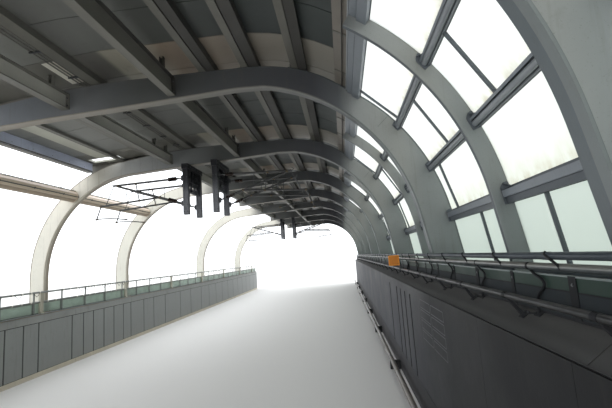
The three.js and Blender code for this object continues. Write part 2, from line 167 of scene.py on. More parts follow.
# ------------------------------------------------------------------ mesh building
class Shape:
    def __init__(self):
        self.v, self.f, self.m = [], [], []

    def add(self, verts, faces, mi=0):
        n = len(self.v)
        self.v.extend((float(a), float(b), float(c)) for a, b, c in verts)
        self.f.extend(tuple(i + n for i in f) for f in faces)
        self.m.extend([mi] * len(faces))

    def rings(self, rings, mi=0, closed=False):
        k, count = len(rings[0]), len(rings)
        faces = []
        for i in range(count if closed else count - 1):
            a, b = i * k, ((i + 1) % count) * k
            faces += [(a + j, a + (j + 1) % k, b + (j + 1) % k, b + j) for j in range(k)]
        if not closed:
            faces.append(tuple(range(k - 1, -1, -1)))
            faces.append(tuple(range((count - 1) * k, count * k)))
        self.add([p for r in rings for p in r], faces, mi)

    def box(self, x0, x1, y0, y1, z0, z1, mi=0):
        self.rings([[(x0, y0, z0), (x1, y0, z0), (x1, y1, z0), (x0, y1, z0)],
                    [(x0, y0, z1), (x1, y0, z1), (x1, y1, z1), (x0, y1, z1)]], mi)

    def prism_y(self, outline, y0, y1, mi=0):
        self.rings([[(x, y0, z) for x, z in outline], [(x, y1, z) for x, z in outline]], mi)

    def prism_x(self, outline, x0, x1, mi=0):
        self.rings([[(x0, y, z) for y, z in outline], [(x1, y, z) for y, z in outline]], mi)

    def prism_z(self, outline, z0, z1, mi=0):
        self.rings([[(x, y, z0) for x, y in outline], [(x, y, z1) for x, y in outline]], mi)

    def lathe(self, p, q, profile, n=16, mi=0):
        """profile: (distance along, radius) pairs; a closed turned body."""
        p, q = Vector(p), Vector(q)
        d = (q - p).normalized()
        u = d.orthogonal().normalized()
        w = d.cross(u)
        self.rings([[p + d * t + (u * math.cos(2 * math.pi * j / n) + w * math.sin(2 * math.pi * j / n)) * r
                     for j in range(n)] for t, r in profile], mi)

    def tube(self, p, q, r, n=14, mi=0):
        length = (Vector(q) - Vector(p)).length
        self.lathe(p, q, [(0, r * 0.86), (min(0.08 * r, 0.002), r), (length - min(0.08 * r, 0.002), r), (length, r * 0.86)], n, mi)

    def pipe(self, points, r, n=12, mi=0):
        """A tube along a line of points; r is one radius or one for each point."""
        pts = [Vector(p) for p in points]
        rr = r if hasattr(r, "__len__") else [r] * len(pts)
        tangents = [(pts[min(i + 1, len(pts) - 1)] - pts[max(i - 1, 0)]).normalized() for i in range(len(pts))]
        u = tangents[0].orthogonal().normalized()
        rings = []
        for i, t in enumerate(tangents):
            u = (u - t * u.dot(t)).normalized()
            w = t.cross(u)
            rings.append([pts[i] + (u * math.cos(2 * math.pi * j / n) + w * math.sin(2 * math.pi * j / n)) * rr[i] for j in range(n)])
        self.rings(rings, mi)

    def bolt(self, p, d, r=0.012, h=0.01, mi=0):
        """A washer and a six-sided head."""
        p, d = Vector(p), Vector(d).normalized()
        self.lathe(p, p + d, [(0, r * 1.45), (h * 0.3, r * 1.45)], 12, mi)
        self.lathe(p + d * h * 0.3, p + d, [(0, r), (h * 0.85, r), (h, r * 0.8)], 6, mi)

    def sweep(self, line, section, y=0.0, mi=0):
        """section: (offset along the line's left normal, offset along the track) pairs, swept along a line of (x, z)."""
        p = np.array(line, float)
        nn = normals2(p)
        self.rings([[(p[i, 0] + nn[i, 0] * a, y + b, p[i, 1] + nn[i, 1] * a) for a, b in section] for i in range(len(p))], mi)


def chamfered(w0, w1, h0, h1, c):
    """A rectangle with cut corners, as (a, b) pairs."""
    return [(w0 + c, h0), (w1 - c, h0), (w1, h0 + c), (w1, h1 - c), (w1 - c, h1), (w0 + c, h1), (w0, h1 - c), (w0, h0 + c)]


def make(name, shape, mats, node=None, body="canopy", bevel=0.0, angle=38):
    me = bpy.data.meshes.new(name)
    me.from_pydata(shape.v, [], shape.f)
    me.polygons.foreach_set("material_index", np.array(shape.m, np.int32))
    bm = bmesh.new()
    bm.from_mesh(me)
    bmesh.ops.recalc_face_normals(bm, faces=bm.faces)
    bm.to_mesh(me)
    bm.free()
    me.polygons.foreach_set("use_smooth", np.ones(len(me.polygons), bool))
    me.set_sharp_from_angle(angle=math.radians(angle))
    ob = bpy.data.objects.new(name, me)
    bpy.context.scene.collection.objects.link(ob)
    for mt in mats:
        me.materials.append(mt)
    if bevel:
        b = ob.modifiers.new("edges", "BEVEL")
        b.width, b.segments, b.limit_method, b.angle_limit = bevel, 1, "ANGLE", math.radians(45)
    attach(ob, body)
    if node:
        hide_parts(*([node] if isinstance(node, str) else node))
    return ob


# ------------------------------------------------------------------ materials
def lin(r, g, b):
    f = lambda c: (c / 255 / 12.92) if c / 255 <= 0.04045 else ((c / 255 + 0.055) / 1.055) ** 2.4
    return (f(r), f(g), f(b), 1.0)


class Mat:
    def __init__(self, name):
        self.mat = bpy.data.materials.new(name)
        self.mat.use_nodes = True
        self.nt = self.mat.node_tree
        self.bsdf = self.nt.nodes["Principled BSDF"]
        self.out = self.nt.nodes["Material Output"]
        self.obj = self.nt.nodes.new("ShaderNodeTexCoord").outputs["Object"]
        self.xyz = self.nt.nodes.new("ShaderNodeSeparateXYZ")
        self.link(self.obj, self.xyz.inputs[0])

    def link(self, a, b):
        self.nt.links.new(a, b)

    def noise(self, scale, detail=3.0, rough=0.55, stretch=(1, 1, 1), shift=(0, 0, 0)):
        mp = self.nt.nodes.new("ShaderNodeMapping")
        mp.inputs["Scale"].default_value = stretch
        mp.inputs["Location"].default_value = shift
        self.link(self.obj, mp.inputs["Vector"])
        n = self.nt.nodes.new("ShaderNodeTexNoise")
        n.inputs["Scale"].default_value = scale
        n.inputs["Detail"].default_value = detail
        n.inputs["Roughness"].default_value = rough
        self.link(mp.outputs[0], n.inputs["Vector"])
        return n.outputs["Fac"]

    def ramp(self, fac, stops, mode="LINEAR"):
        r = self.nt.nodes.new("ShaderNodeValToRGB")
        r.color_ramp.interpolation = mode
        el = r.color_ramp.elements
        while len(el) > 1:
            el.remove(el[-1])
        el[0].position, el[0].color = stops[0]
        for pos, col in stops[1:]:
            e = el.new(pos)
            e.color = col
        self.link(fac, r.inputs[0])
        return r.outputs["Color"]

    def mix(self, fac, a, b, mode="MIX"):
        x = self.nt.nodes.new("ShaderNodeMix")
        x.data_type = "RGBA"
        x.blend_type = mode
        for value, s in ((fac, x.inputs[0]), (a, x.inputs[6]), (b, x.inputs[7])):
            if hasattr(value, "links"):
                self.link(value, s)
            else:
                s.default_value = value
        return x.outputs[2]

    def rng(self, value, a, b, c=0.0, d=1.0):
        r = self.nt.nodes.new("ShaderNodeMapRange")
        r.clamp = True
        for s, v in zip(r.inputs[1:5], (a, b, c, d)):
            s.default_value = v
        self.link(value, r.inputs[0])
        return r.outputs[0]

    def math(self, op, a, b=0.0):
        x = self.nt.nodes.new("ShaderNodeMath")
        x.operation = op
        for value, s in ((a, x.inputs[0]), (b, x.inputs[1])):
            if hasattr(value, "links"):
                self.link(value, s)
            else:
                s.default_value = value
        return x.outputs[0]

    def along(self, axis, stops, lo=-6.0, hi=6.0):
        """A colour that changes with place: stops are (metres, colour)."""
        return self.ramp(self.rng(self.xyz.outputs[axis], lo, hi), [((p - lo) / (hi - lo), c) for p, c in stops])

    def bump(self, height, strength=0.3, distance=0.004):
        b = self.nt.nodes.new("ShaderNodeBump")
        b.inputs["Strength"].default_value = strength
        b.inputs["Distance"].default_value = distance
        self.link(height, b.inputs["Height"])
        self.link(b.outputs[0], self.bsdf.inputs["Normal"])

    def finish(self, colour, rough, metal=0.0, spec=0.5):
        self.link(colour, self.bsdf.inputs["Base Color"])
        self.link(rough, self.bsdf.inputs["Roughness"])
        self.bsdf.inputs["Metallic"].default_value = metal
        self.bsdf.inputs["Specular IOR Level"].default_value = spec
        return self.mat


def scaled(c, k):
    return (min(1, c[0] * k), min(1, c[1] * k), min(1, c[2] * k), 1.0)


def paint(name, base, rough=0.5, metal=0.0, spread=0.16, scale=1.6, streak=0.35, dirt=None, fine=60, bump=0.15, spec=0.5,
          stretch=(1, 1, 1), speck=0.0):
    """A weathered paint: broad tone change, run-down streaks, dirt in patches, and a fine surface grain."""
    t = Mat(name)
    source = base(t) if callable(base) else None
    broad = t.noise(scale, 5, 0.6, stretch)
    if source is None:
        col = t.ramp(broad, [(0.3, scaled(base, 1 - spread)), (0.7, scaled(base, 1 + spread))])
    else:
        col = t.mix(1.0, source, t.ramp(broad, [(0.3, (1 - spread, 1 - spread, 1 - spread, 1)), (0.7, (1, 1, 1, 1))]), "MULTIPLY")
    d = dirt or lin(62, 56, 48)
    if streak:
        run = t.noise(3.0, 4, 0.65, (5.0, 5.0, 0.35), (3, 7, 1))
        col = t.mix(t.rng(run, 0.56, 0.78, 0, streak), col, d)
    patch = t.noise(7.0, 6, 0.7, (1, 1, 1), (11, 2, 5))
    col = t.mix(t.rng(patch, 0.58, 0.8, 0, 0.3), col, d)
    if speck:
        dots = t.noise(95.0, 2, 0.5, (1, 1, 1), (4, 4, 4))
        col = t.mix(t.rng(dots, 0.66, 0.72, 0, speck), col, scaled(d, 0.6))
    grain = t.noise(fine, 3, 0.6)
    r = t.rng(broad, 0.3, 0.7, rough - 0.08, rough + 0.12)
    t.bump(grain, bump, 0.003)
    return t.finish(col, r, metal, spec)


def rib_colour_painted_light(t, free=False, near=False):
    """One paint under painted light and shade: light grey-green on the glazed side, dark painted shade under the roof,
    cream down the left legs and all along a free arch, where they stand in the light.
    """
    left = [(-1.8, lin(220, 216, 204)), (-1.3, lin(150, 149, 144))] if free else [(-3.7, lin(220, 215, 202)), (-3.2, lin(170, 166, 154)), (-2.3, lin(172, 173, 172))]
    # the two near ribs get deeper painted shade on the left
    if near:
        left = [(-3.7, lin(206, 202, 190)), (-3.2, lin(140, 142, 144)), (-2.2, lin(122, 126, 132)), (-1.7, lin(112, 116, 121))]
    return t.along(0, [(-6.0, lin(222, 220, 208)), *left,
                       (-1.0, lin(106, 108, 110) if near else lin(128, 130, 130)), (0.3, lin(74, 76, 75)), (3.3, lin(66, 67, 72)), (3.72, lin(90, 93, 96)), (3.95, lin(146, 149, 147)), (4.6, lin(145, 147, 143)), (4.95, lin(132, 137, 136)),
                       (6.0, lin(124, 131, 132))])


# Outer flange colour: the rib paint in painted shade, darker than the side plates and deepest under the roof.
def rib_edge_colour_painted_shade(t, free=False):
    left = [(-2.0, lin(152, 143, 130))] if free else [(-3.7, lin(152, 143, 130)), (-3.2, lin(128, 122, 112)), (-2.2, lin(118, 114, 106))]
    return t.along(0, [(-6.0, lin(158, 148, 134)), *left,
                       (-1.6, lin(104, 102, 97)), (0.2, lin(80, 81, 80)), (3.3, lin(66, 70, 72)), (3.72, lin(72, 78, 80)), (3.95, lin(98, 106, 106)), (6.0, lin(104, 110, 108))])


def soffit_near_painted_light(t, free=False):
    """The near half of the inner flange, in painted light: as light as the side on the glazed haunch."""
    left = [(-1.8, lin(206, 200, 186)), (-1.3, lin(150, 143, 132))] if free else [(-3.7, lin(200, 192, 176)), (-3.2, lin(158, 150, 138)), (-2.2, lin(150, 143, 132))]
    return t.along(0, [(-6.0, lin(206, 200, 186)), *left,
                       (0.2, lin(132, 127, 118)), (3.3, lin(104, 104, 100)), (3.9, lin(104, 108, 107)), (4.4, lin(114, 120, 119)), (6.0, lin(108, 115, 116))])


# The far half of the inner flange: the same paint in painted shade, darker than the near half.
def soffit_far_painted_shade(t, free=False):
    left = [(-1.8, lin(176, 164, 148)), (-1.3, lin(148, 141, 130))] if free else [(-3.7, lin(164, 154, 138)), (-3.2, lin(150, 143, 130)), (-2.2, lin(148, 141, 130))]
    return t.along(0, [(-6.0, lin(170, 158, 142)), *left,
                       (0.2, lin(130, 125, 116)), (3.3, lin(92, 94, 94)), (3.9, lin(84, 90, 92)), (4.6, lin(92, 99, 102)), (6.0, lin(96, 103, 106))])


# rib paints: their colours carry painted light and painted shade, set by place
M_RIB = paint("rib_web_paint", rib_colour_painted_light, 0.5, 0.05, 0.14, 0.9, 0.28, lin(88, 82, 72), speck=0.25)
M_SOFFIT_NEAR = paint("rib_soffit_near_paint", soffit_near_painted_light, 0.5, 0.05, 0.12, 1.1, 0.2, lin(88, 82, 72))
M_SOFFIT_FAR = paint("rib_soffit_far_paint", soffit_far_painted_shade, 0.5, 0.05, 0.14, 1.3, 0.2, lin(66, 62, 56))
M_RIB_EDGE = paint("rib_flange_paint", rib_edge_colour_painted_shade, 0.5, 0.05, 0.16, 1.3, 0.3, lin(60, 56, 50), speck=0.2)
M_RIB_NEAR = paint("near_rib_web_paint", lambda t: rib_colour_painted_light(t, near=True), 0.5, 0.05, 0.14, 0.9, 0.28, lin(88, 82, 72), speck=0.25)
M_RIB_FREE = paint("free_arch_web_paint", lambda t: rib_colour_painted_light(t, True), 0.5, 0.05, 0.14, 0.9, 0.24, lin(120, 108, 92), speck=0.2)
M_SOFFIT_NEAR_FREE = paint("free_arch_soffit_near_paint", lambda t: soffit_near_painted_light(t, True), 0.5, 0.05, 0.12, 1.1, 0.2, lin(110, 98, 84))
M_SOFFIT_FAR_FREE = paint("free_arch_soffit_far_paint", lambda t: soffit_far_painted_shade(t, True), 0.5, 0.05, 0.14, 1.3, 0.2, lin(96, 84, 72))
M_RIB_EDGE_FREE = paint("free_arch_flange_paint", lambda t: rib_edge_colour_painted_shade(t, True), 0.5, 0.05, 0.16, 1.3, 0.3, lin(80, 72, 62), speck=0.2)
M_BOLT = paint("bolt_zinc", lin(92, 94, 95), 0.4, 0.8, 0.25, 9, 0.0)
M_GLAZE = paint("glazing_frame_paint", lin(118, 124, 130), 0.42, 0.15, 0.14, 1.5, 0.22, lin(60, 58, 54), speck=0.15)
M_GLAZE_DARK = paint("glazing_frame_shadow_paint", lin(84, 90, 95), 0.5, 0.1, 0.16, 1.8, 0.2)
M_TUBE_LIGHT = paint("glazing_tube_paint", lin(140, 145, 149), 0.36, 0.2, 0.1, 2.2, 0.0, lin(110, 110, 108))
M_SEAL = paint("black_seal", lin(52, 56, 58), 0.7, 0.0, 0.2, 6, 0.0, fine=120)
M_CAP = paint("outer_cap_strip", lin(176, 180, 180), 0.35, 0.6, 0.1, 1.2, 0.25)


def roof_colour(t):
    """Dark sheet with painted light and shade: lighter to the left, darker to the right, a painted dark band just right
    of the middle purlin, and a painted pool of light, browner and lighter, ahead of every rib.
    """
    y = t.math("FRACT", t.math("DIVIDE", t.math("SUBTRACT", t.xyz.outputs[1], RIB_Y[0] - PITCH * 10), PITCH))
    plain = t.along(0, [(-3.6, lin(136, 137, 134)), (-0.9, lin(124, 124, 118)), (-0.43, lin(108, 108, 103)), (-0.3, lin(92, 92, 88)), (0.0, lin(98, 99, 94)), (0.8, lin(90, 91, 86)),
                        (1.6, lin(66, 69, 66)), (2.6, lin(53, 58, 57)), (4.0, lin(52, 59, 57))])
    brown = t.along(0, [(-3.6, lin(118, 116, 108)), (-0.9, lin(112, 110, 102)), (-0.43, lin(104, 102, 96)), (-0.3, lin(86, 84, 79)), (-0.05, lin(88, 86, 80)), (0.05, lin(144, 140, 126)),
                        (0.7, lin(144, 138, 124)), (1.0, lin(148, 132, 116)), (2.4, lin(140, 132, 121)), (4.0, lin(132, 129, 120))])
    # mask of the painted pool of light: from about 0.83 m before each rib to 0.3 m past it
    light = t.ramp(y, [(0.0, (1, 1, 1, 1)), (0.07, (1, 1, 1, 1)), (0.075, (0, 0, 0, 1)), (0.797, (0, 0, 0, 1)), (0.802, (1, 1, 1, 1)), (1.0, (1, 1, 1, 1))])
    return t.mix(light, plain, brown)


M_ROOF = paint("roof_liner_sheet", roof_colour, 0.5, 0.1, 0.2, 0.8, 0.0, lin(48, 44, 38), fine=40)
# painted light: pale sheet for the pools of light by the conduits
M_ROOF_LIT_PATCH = paint("roof_painted_light_patch", lin(220, 216, 203), 0.5, 0.1, 0.18, 1.5, 0.0, lin(80, 74, 64))
M_STRIP = paint("roof_light_strip", lin(178, 178, 166), 0.5, 0.0, 0.12, 1.2, 0.0, lin(120, 116, 104))
M_ROOF_TOP = paint("roof_top_sheet", lin(150, 155, 158), 0.35, 0.7, 0.12, 0.7, 0.0, lin(92, 88, 80), stretch=(1, 3, 1))
M_PURLIN = paint("purlin_paint", lin(100, 98, 91), 0.5, 0.1, 0.15, 1.2, 0.0, lin(60, 56, 50))


# Purlin, duct and conduit sides: painted shade, dark on the right under the roof, lifted by painted light towards the
# open left side.
def purlin_side_painted_light_and_shade(t):
    return t.along(0, [(-3.6, lin(132, 132, 128)), (-1.4, lin(122, 121, 116)), (-0.95, lin(116, 114, 108)), (-0.4, lin(114, 112, 106)), (-0.1, lin(74, 72, 69)), (3.4, lin(68, 66, 63))])


# painted light: the deep ties' webs are lighter towards the open left side and darker on the right
def tie_web_colour_painted_light(t):
    return t.along(0, [(-1.3, lin(192, 190, 182)), (-0.8, lin(184, 182, 174)), (0.5, lin(112, 110, 103)), (1.2, lin(108, 106, 100))])


M_PURLIN_DARK = paint("purlin_side_paint", purlin_side_painted_light_and_shade, 0.6, 0.1, 0.2, 1.5, 0.0)
M_TIE_WEB = paint("roof_tie_web_paint", tie_web_colour_painted_light, 0.55, 0.1, 0.18, 1.2, 0.0, lin(56, 52, 46))
M_GUTTER = paint("gutter_sheet", lin(112, 106, 98), 0.45, 0.2, 0.15, 1.4, 0.2)
M_EAVES = paint("eaves_paint", lin(192, 198, 218), 0.45, 0.15, 0.14, 1.1, 0.3, lin(66, 62, 58), speck=0.15)
M_TIE = paint("tie_tube_paint", lin(216, 200, 178), 0.42, 0.05, 0.1, 1.0, 0.2, lin(110, 92, 74), stretch=(1, 0.3, 1))
# painted highlight: the pale stripe along the tie tube's upper side
M_TIE_HIGHLIGHT = paint("tie_tube_painted_highlight", lin(238, 220, 208), 0.35, 0.0, 0.08, 1.4, 0.1, lin(150, 120, 100))
# painted shade for the tie tube's downward faces
M_TIE_SHADE = paint("tie_tube_painted_shade", lin(156, 140, 120), 0.5, 0.0, 0.12, 1.4, 0.2)
# painted shade: the drop frames darken towards the top, in the shade under the roof
def post_colour_painted_shade(t):
    return t.along(2, [(3.9, lin(136, 137, 142)), (4.6, lin(120, 121, 126)), (4.8, lin(88, 89, 94)), (5.0, lin(54, 55, 59)), (5.35, lin(40, 41, 45))], 3.9, 5.4)


M_POST = paint("drop_frame_paint", post_colour_painted_shade, 0.5, 0.3, 0.22, 4, 0.2, lin(70, 60, 50), spec=0.4)
M_ARM = paint("arm_tube_zinc", lin(78, 78, 78), 0.42, 0.6, 0.25, 6, 0.0, lin(60, 48, 38))
M_INS = paint("insulator_glaze", lin(62, 48, 42), 0.22, 0.0, 0.2, 8, 0.0, bump=0.03, spec=0.6)
M_COPPER = paint("clamp_bronze", lin(96, 84, 66), 0.4, 0.8, 0.25, 8, 0.0)


def glass_material():
    t = Mat("milky_glass_sheet")
    z = t.xyz.outputs[2]
    # painted shade: the lowest row of panes is darker and greener, where less light comes through them
    tint = t.along(2, [(2.2, lin(209, 215, 209)), (3.1, lin(216, 221, 216)), (3.16, lin(238, 240, 235)), (4.2, lin(242, 243, 240)), (6.0, lin(244, 244, 243))], 0.0, 6.5)
    # brownish dirt gathered above each purlin
    turn = t.math("ARCTAN2", t.math("SUBTRACT", z, HC[1]), t.math("SUBTRACT", t.xyz.outputs[0], HC[0]))
    stops = [(0.0, (0, 0, 0, 1))]
    for n in ("a", "b", "c"):
        e = math.radians(PURLINS[n][1]) / 1.05
        stops += [(e - 0.004, (0, 0, 0, 1)), (e, (1, 1, 1, 1)), (e + 0.025, (0.4, 0.4, 0.4, 1)), (e + 0.085, (0, 0, 0, 1))]
    edge = t.ramp(t.math("DIVIDE", turn, 1.05), stops)
    tint = t.mix(t.math("MULTIPLY", edge, t.rng(t.noise(5.0, 5, 0.65, (1, 1.6, 1), (9, 2, 4)), 0.38, 0.66, 0.03, 0.5)), tint, lin(184, 170, 138))
    cloud = t.noise(1.4, 5, 0.6, (1, 1, 1.6))
    tint = t.mix(t.rng(cloud, 0.35, 0.75, 0, 0.07), tint, lin(206, 214, 204))
    film = t.noise(2.2, 6, 0.7, (1, 1.2, 0.5), (3, 1, 8))
    tint = t.mix(t.rng(film, 0.58, 0.85, 0, 0.14), tint, lin(214, 204, 178))
    tr = t.nt.nodes.new("ShaderNodeBsdfTranslucent")
    t.link(tint, tr.inputs["Color"])
    mx = t.nt.nodes.new("ShaderNodeMixShader")
    mx.inputs[0].default_value = 0.86
    face = t.mix(t.rng(cloud, 0.3, 0.7), lin(196, 206, 200), lin(214, 222, 216))
    t.finish(face, t.rng(film, 0.3, 0.8, 0.14, 0.3), 0.0, 0.5)
    t.bump(t.noise(26, 3, 0.5), 0.04, 0.002)
    t.link(t.bsdf.outputs[0], mx.inputs[1])
    t.link(tr.outputs[0], mx.inputs[2])
    t.link(mx.outputs[0], t.out.inputs["Surface"])
    return t.mat


M_GLASS = glass_material()


def wall_colour_painted_shade(t):
    low = t.along(2, [(0.0, lin(92, 91, 92)), (0.45, lin(86, 86, 88)), (0.55, lin(97, 99, 104)), (1.8, lin(92, 93, 97)), (2.4, lin(96, 92, 86))], 0.0, 2.5)
    # painted shade: the wall grows far darker towards the near end (low y) than further along
    far = t.along(1, [(-18.9, (0.066, 0.07, 0.074, 1)), (-15.0, (0.09, 0.093, 0.098, 1)), (-13.6, (0.13, 0.133, 0.138, 1)), (-12.0, (0.24, 0.243, 0.252, 1)), (-10.5, (0.5, 0.5, 0.526, 1)), (-8, (0.64, 0.633, 0.66, 1)), (18.9, (0.67, 0.67, 0.67, 1))], -19, 19)
    return t.mix(1.0, low, far, "MULTIPLY")


def wall_grey_colour(t):
    return t.along(2, [(0.0, lin(144, 146, 142)), (0.12, lin(142, 144, 141)), (0.6, lin(138, 141, 139)), (1.35, lin(142, 145, 143)), (1.7, lin(145, 143, 138))], 0.0, 1.8)


M_WALL_R = paint("right_wall_panel", wall_colour_painted_shade, 0.62, 0.0, 0.22, 0.8, 0.45, lin(50, 47, 44), fine=34, bump=0.3, speck=0.3, spec=0.25)
M_FRAME_R = paint("right_wall_frames", lin(74, 75, 77), 0.6, 0.0, 0.15, 2, 0.0)
# dark joint paint; in the wide joints it also serves as painted shadow
M_WALL_R_CORE = paint("right_wall_joint_and_painted_shadow", lin(26, 26, 28), 0.85, 0.0, 0.25, 3, 0.0)
def coping_colour(t):
    return t.along(0, [(4.68, lin(46, 46, 46)), (4.72, lin(66, 66, 65)), (4.86, lin(84, 83, 81)), (5.2, lin(98, 97, 94)), (5.55, lin(110, 108, 103))], 4.5, 5.6)


M_COPING = paint("right_coping", coping_colour, 0.7, 0.0, 0.22, 1.2, 0.0, lin(46, 42, 38), fine=30, bump=0.35, stretch=(1, 0.4, 1), speck=0.4, spec=0.4)
M_WALL_L = paint("left_wall_panel", wall_grey_colour, 0.6, 0.0, 0.16, 0.7, 0.35, lin(92, 90, 84), fine=34, bump=0.3, speck=0.25)
M_WALL_L_CORE = paint("left_wall_joint", lin(44, 46, 46), 0.85, 0.0, 0.2, 3, 0.0)
M_BAND_L = paint("left_coping_band", lin(140, 142, 139), 0.65, 0.0, 0.15, 1.0, 0.3, lin(96, 92, 85), fine=30, bump=0.3)
M_TRIM_BROWN = paint("left_coping_trim", lin(164, 142, 118), 0.6, 0.0, 0.15, 1.5, 0.2)
M_KERB = paint("left_kerb", lin(198, 190, 172), 0.7, 0.0, 0.12, 1.5, 0.2, lin(120, 110, 92))
# painted highlight on the top half of the second tube, painted shade on its lower half
def second_rail_lit_and_shaded_colour(t):
    return t.along(2, [(2.46, lin(52, 58, 60)), (2.484, lin(56, 62, 64)), (2.49, lin(112, 112, 108)), (2.512, lin(124, 122, 115))], 2.4, 2.6)


# painted highlight: a lighter band along the top of the lower tube, dark below
def lower_rail_highlight_colour(t):
    return t.along(2, [(2.246, lin(18, 18, 19)), (2.28, lin(22, 23, 24)), (2.287, lin(48, 48, 48)), (2.294, lin(62, 61, 59))], 2.2, 2.4)


M_RAIL = paint("upper_rail_paint", lin(50, 57, 64), 0.42, 0.25, 0.16, 3, 0.0, lin(44, 40, 36), spec=0.3)
M_RAIL_LIT_TOP = paint("second_rail_painted_highlight", second_rail_lit_and_shaded_colour, 0.34, 0.3, 0.16, 3, 0.0, lin(60, 52, 44))
M_RAIL_LOW = paint("lower_rail_painted_highlight", lower_rail_highlight_colour, 0.4, 0.2, 0.16, 3, 0.0, lin(60, 52, 44), spec=0.35)
M_STRAP = paint("rail_strap_black", lin(28, 29, 31), 0.7, 0.0, 0.25, 8, 0.0, spec=0.2)
M_RAIL_L = paint("left_rail_paint", lin(128, 132, 128), 0.38, 0.4, 0.18, 3, 0.0, lin(66, 60, 50))
M_CLIP = paint("rail_clip_pale", lin(206, 204, 194), 0.4, 0.1, 0.12, 5, 0.0)
M_POST_L = paint("left_post_beige", lin(176, 172, 156), 0.5, 0.1, 0.14, 2, 0.3)
M_PIPE = paint("wall_foot_pipe_paint", lin(112, 106, 100), 0.42, 0.2, 0.14, 1.6, 0.0, lin(80, 70, 58))
M_ORANGE = paint("plate_orange_paint", lin(226, 142, 30), 0.4, 0.0, 0.08, 6, 0.15, lin(120, 70, 24))
M_ORANGE_FACE = paint("plate_face_paint", lin(206, 124, 26), 0.45, 0.0, 0.12, 8, 0.2, lin(110, 62, 22))


def screen_material(name, top, low, z_split, rough=0.2, clear=0.35, spec=0.5):
    t = Mat(name)
    col = t.along(2, [(z_split - 0.02, low), (z_split, top), (z_split + 0.2, scaled(top, 1.2))], 1.5, 2.7)
    film = t.noise(2.5, 5, 0.65, (1, 1, 2))
    col = t.mix(t.rng(film, 0.5, 0.8, 0, 0.35), col, scaled(top, 1.6))
    t.bump(t.noise(40, 3, 0.6), 0.05, 0.002)
    t.finish(col, t.rng(film, 0.3, 0.8, rough, rough + 0.2), 0.0, spec)
    tr = t.nt.nodes.new("ShaderNodeBsdfTranslucent")
    t.link(col, tr.inputs["Color"])
    mx = t.nt.nodes.new("ShaderNodeMixShader")
    mx.inputs[0].default_value = clear
    t.link(t.bsdf.outputs[0], mx.inputs[1])
    t.link(tr.outputs[0], mx.inputs[2])
    t.link(mx.outputs[0], t.out.inputs["Surface"])
    return t.mat


M_GREEN = screen_material("right_screen_sheet", lin(26, 48, 39), lin(16, 22, 25), 2.34, 0.45, 0.15, 0.25)
M_SCREEN_LOW = paint("right_screen_lower", lin(37, 42, 45), 0.7, 0.0, 0.2, 1.6, 0.2, spec=0.2)
M_SCREEN_EDGE = paint("right_screen_top_edge", lin(96, 106, 104), 0.4, 0.1, 0.12, 2, 0.0)
M_TEAL = screen_material("left_screen_sheet", lin(168, 180, 171), lin(162, 174, 165), 1.6, 0.2, 0.5)

# ------------------------------------------------------------------ main ribs
FL = 0.018      # flange thickness


def rib_lines(leg, foot_r=2.2224, foot_l=1.6424):
    out = [lean_at(HC[0], HC[1], R_OUT, LEAN, foot_r)] + arc(HC[0], HC[1], R_OUT, LEAN, 57.5)
    crown = smooth_line([hp(57.5, R_OUT)] + CROWN_OUT + [(LEFT[0] - LEFT[2] * math.cos(math.radians(80)), LEFT[1] + LEFT[2] * math.sin(math.radians(80)))], 5)
    out += [tuple(p) for p in crown[1:]]
    inn = [lean_at(*RIGHT_IN, LEAN_IN, foot_r)] + arc(RIGHT_IN[0], RIGHT_IN[1], RIGHT_IN[2], LEAN_IN, 80)
    inn += [tuple(p) for p in smooth_line([inn[-1]] + CROWN_IN + [(-2.06, 5.33)], 5)[1:]]
    if leg:
        out += arc(LEFT[0], LEFT[1], LEFT[2], 80, 0, -1)[1:] + [(-5.25, foot_l)]
        inn += arc(LEFT[0], LEFT[1], LEFT[3], 90, 0, -1)[1:] + [(-4.83, foot_l)]
    else:
        end = STEP_X + 0.0004
        out, inn = ([q for q in line if q[0] > end] + [(end, line_at([q for q in line if q[1] > 4.9], end))] for line in (out, inn))
    return resample(out, 150 if leg else 90), resample(inn, 150 if leg else 90)


def base_plate(s, x0, x1, y, z, hw=0.14, bolts=0.03):
    s.box(x0, x1, y - hw, y + hw, z + 0.0004, z + 0.022, 1)
    for bx in (x0 + bolts, (x0 + x1) / 2, x1 - bolts):
        for by in (y - hw + 0.028, y + hw - 0.028):
            s.bolt((bx, by, z + 0.022), (0, 0, 1), 0.014, 0.016, 2)
            s.lathe((bx, by, z + 0.036), (bx, by, z + 0.06), [(0, 0.008), (0.022, 0.008), (0.024, 0.006)], 10, 2)


def roof_cleats(s, y, out):
    """Small bolted angles on the rib's top flange, beside each purlin."""
    for x in ((-2.62, -1.87) if y < STEP_Y else (-1.25,)) + (-0.6, 1.31, 2.05, 2.9):
        z = line_at([tuple(p) for p in out if p[1] > 4.8], x)
        for sy in (-1, 1):
            s.box(x - 0.004, x + 0.05, y + sy * 0.05 - 0.022, y + sy * 0.05 + 0.022, z + 0.001, z + 0.011, 1)
            s.box(x + 0.04, x + 0.05, y + sy * 0.05 - 0.022, y + sy * 0.05 + 0.022, z + 0.001, z + 0.07, 1)
            s.bolt((x + 0.014, y + sy * 0.05, z + 0.011), (0, 0, 1), 0.009, 0.01, 2)


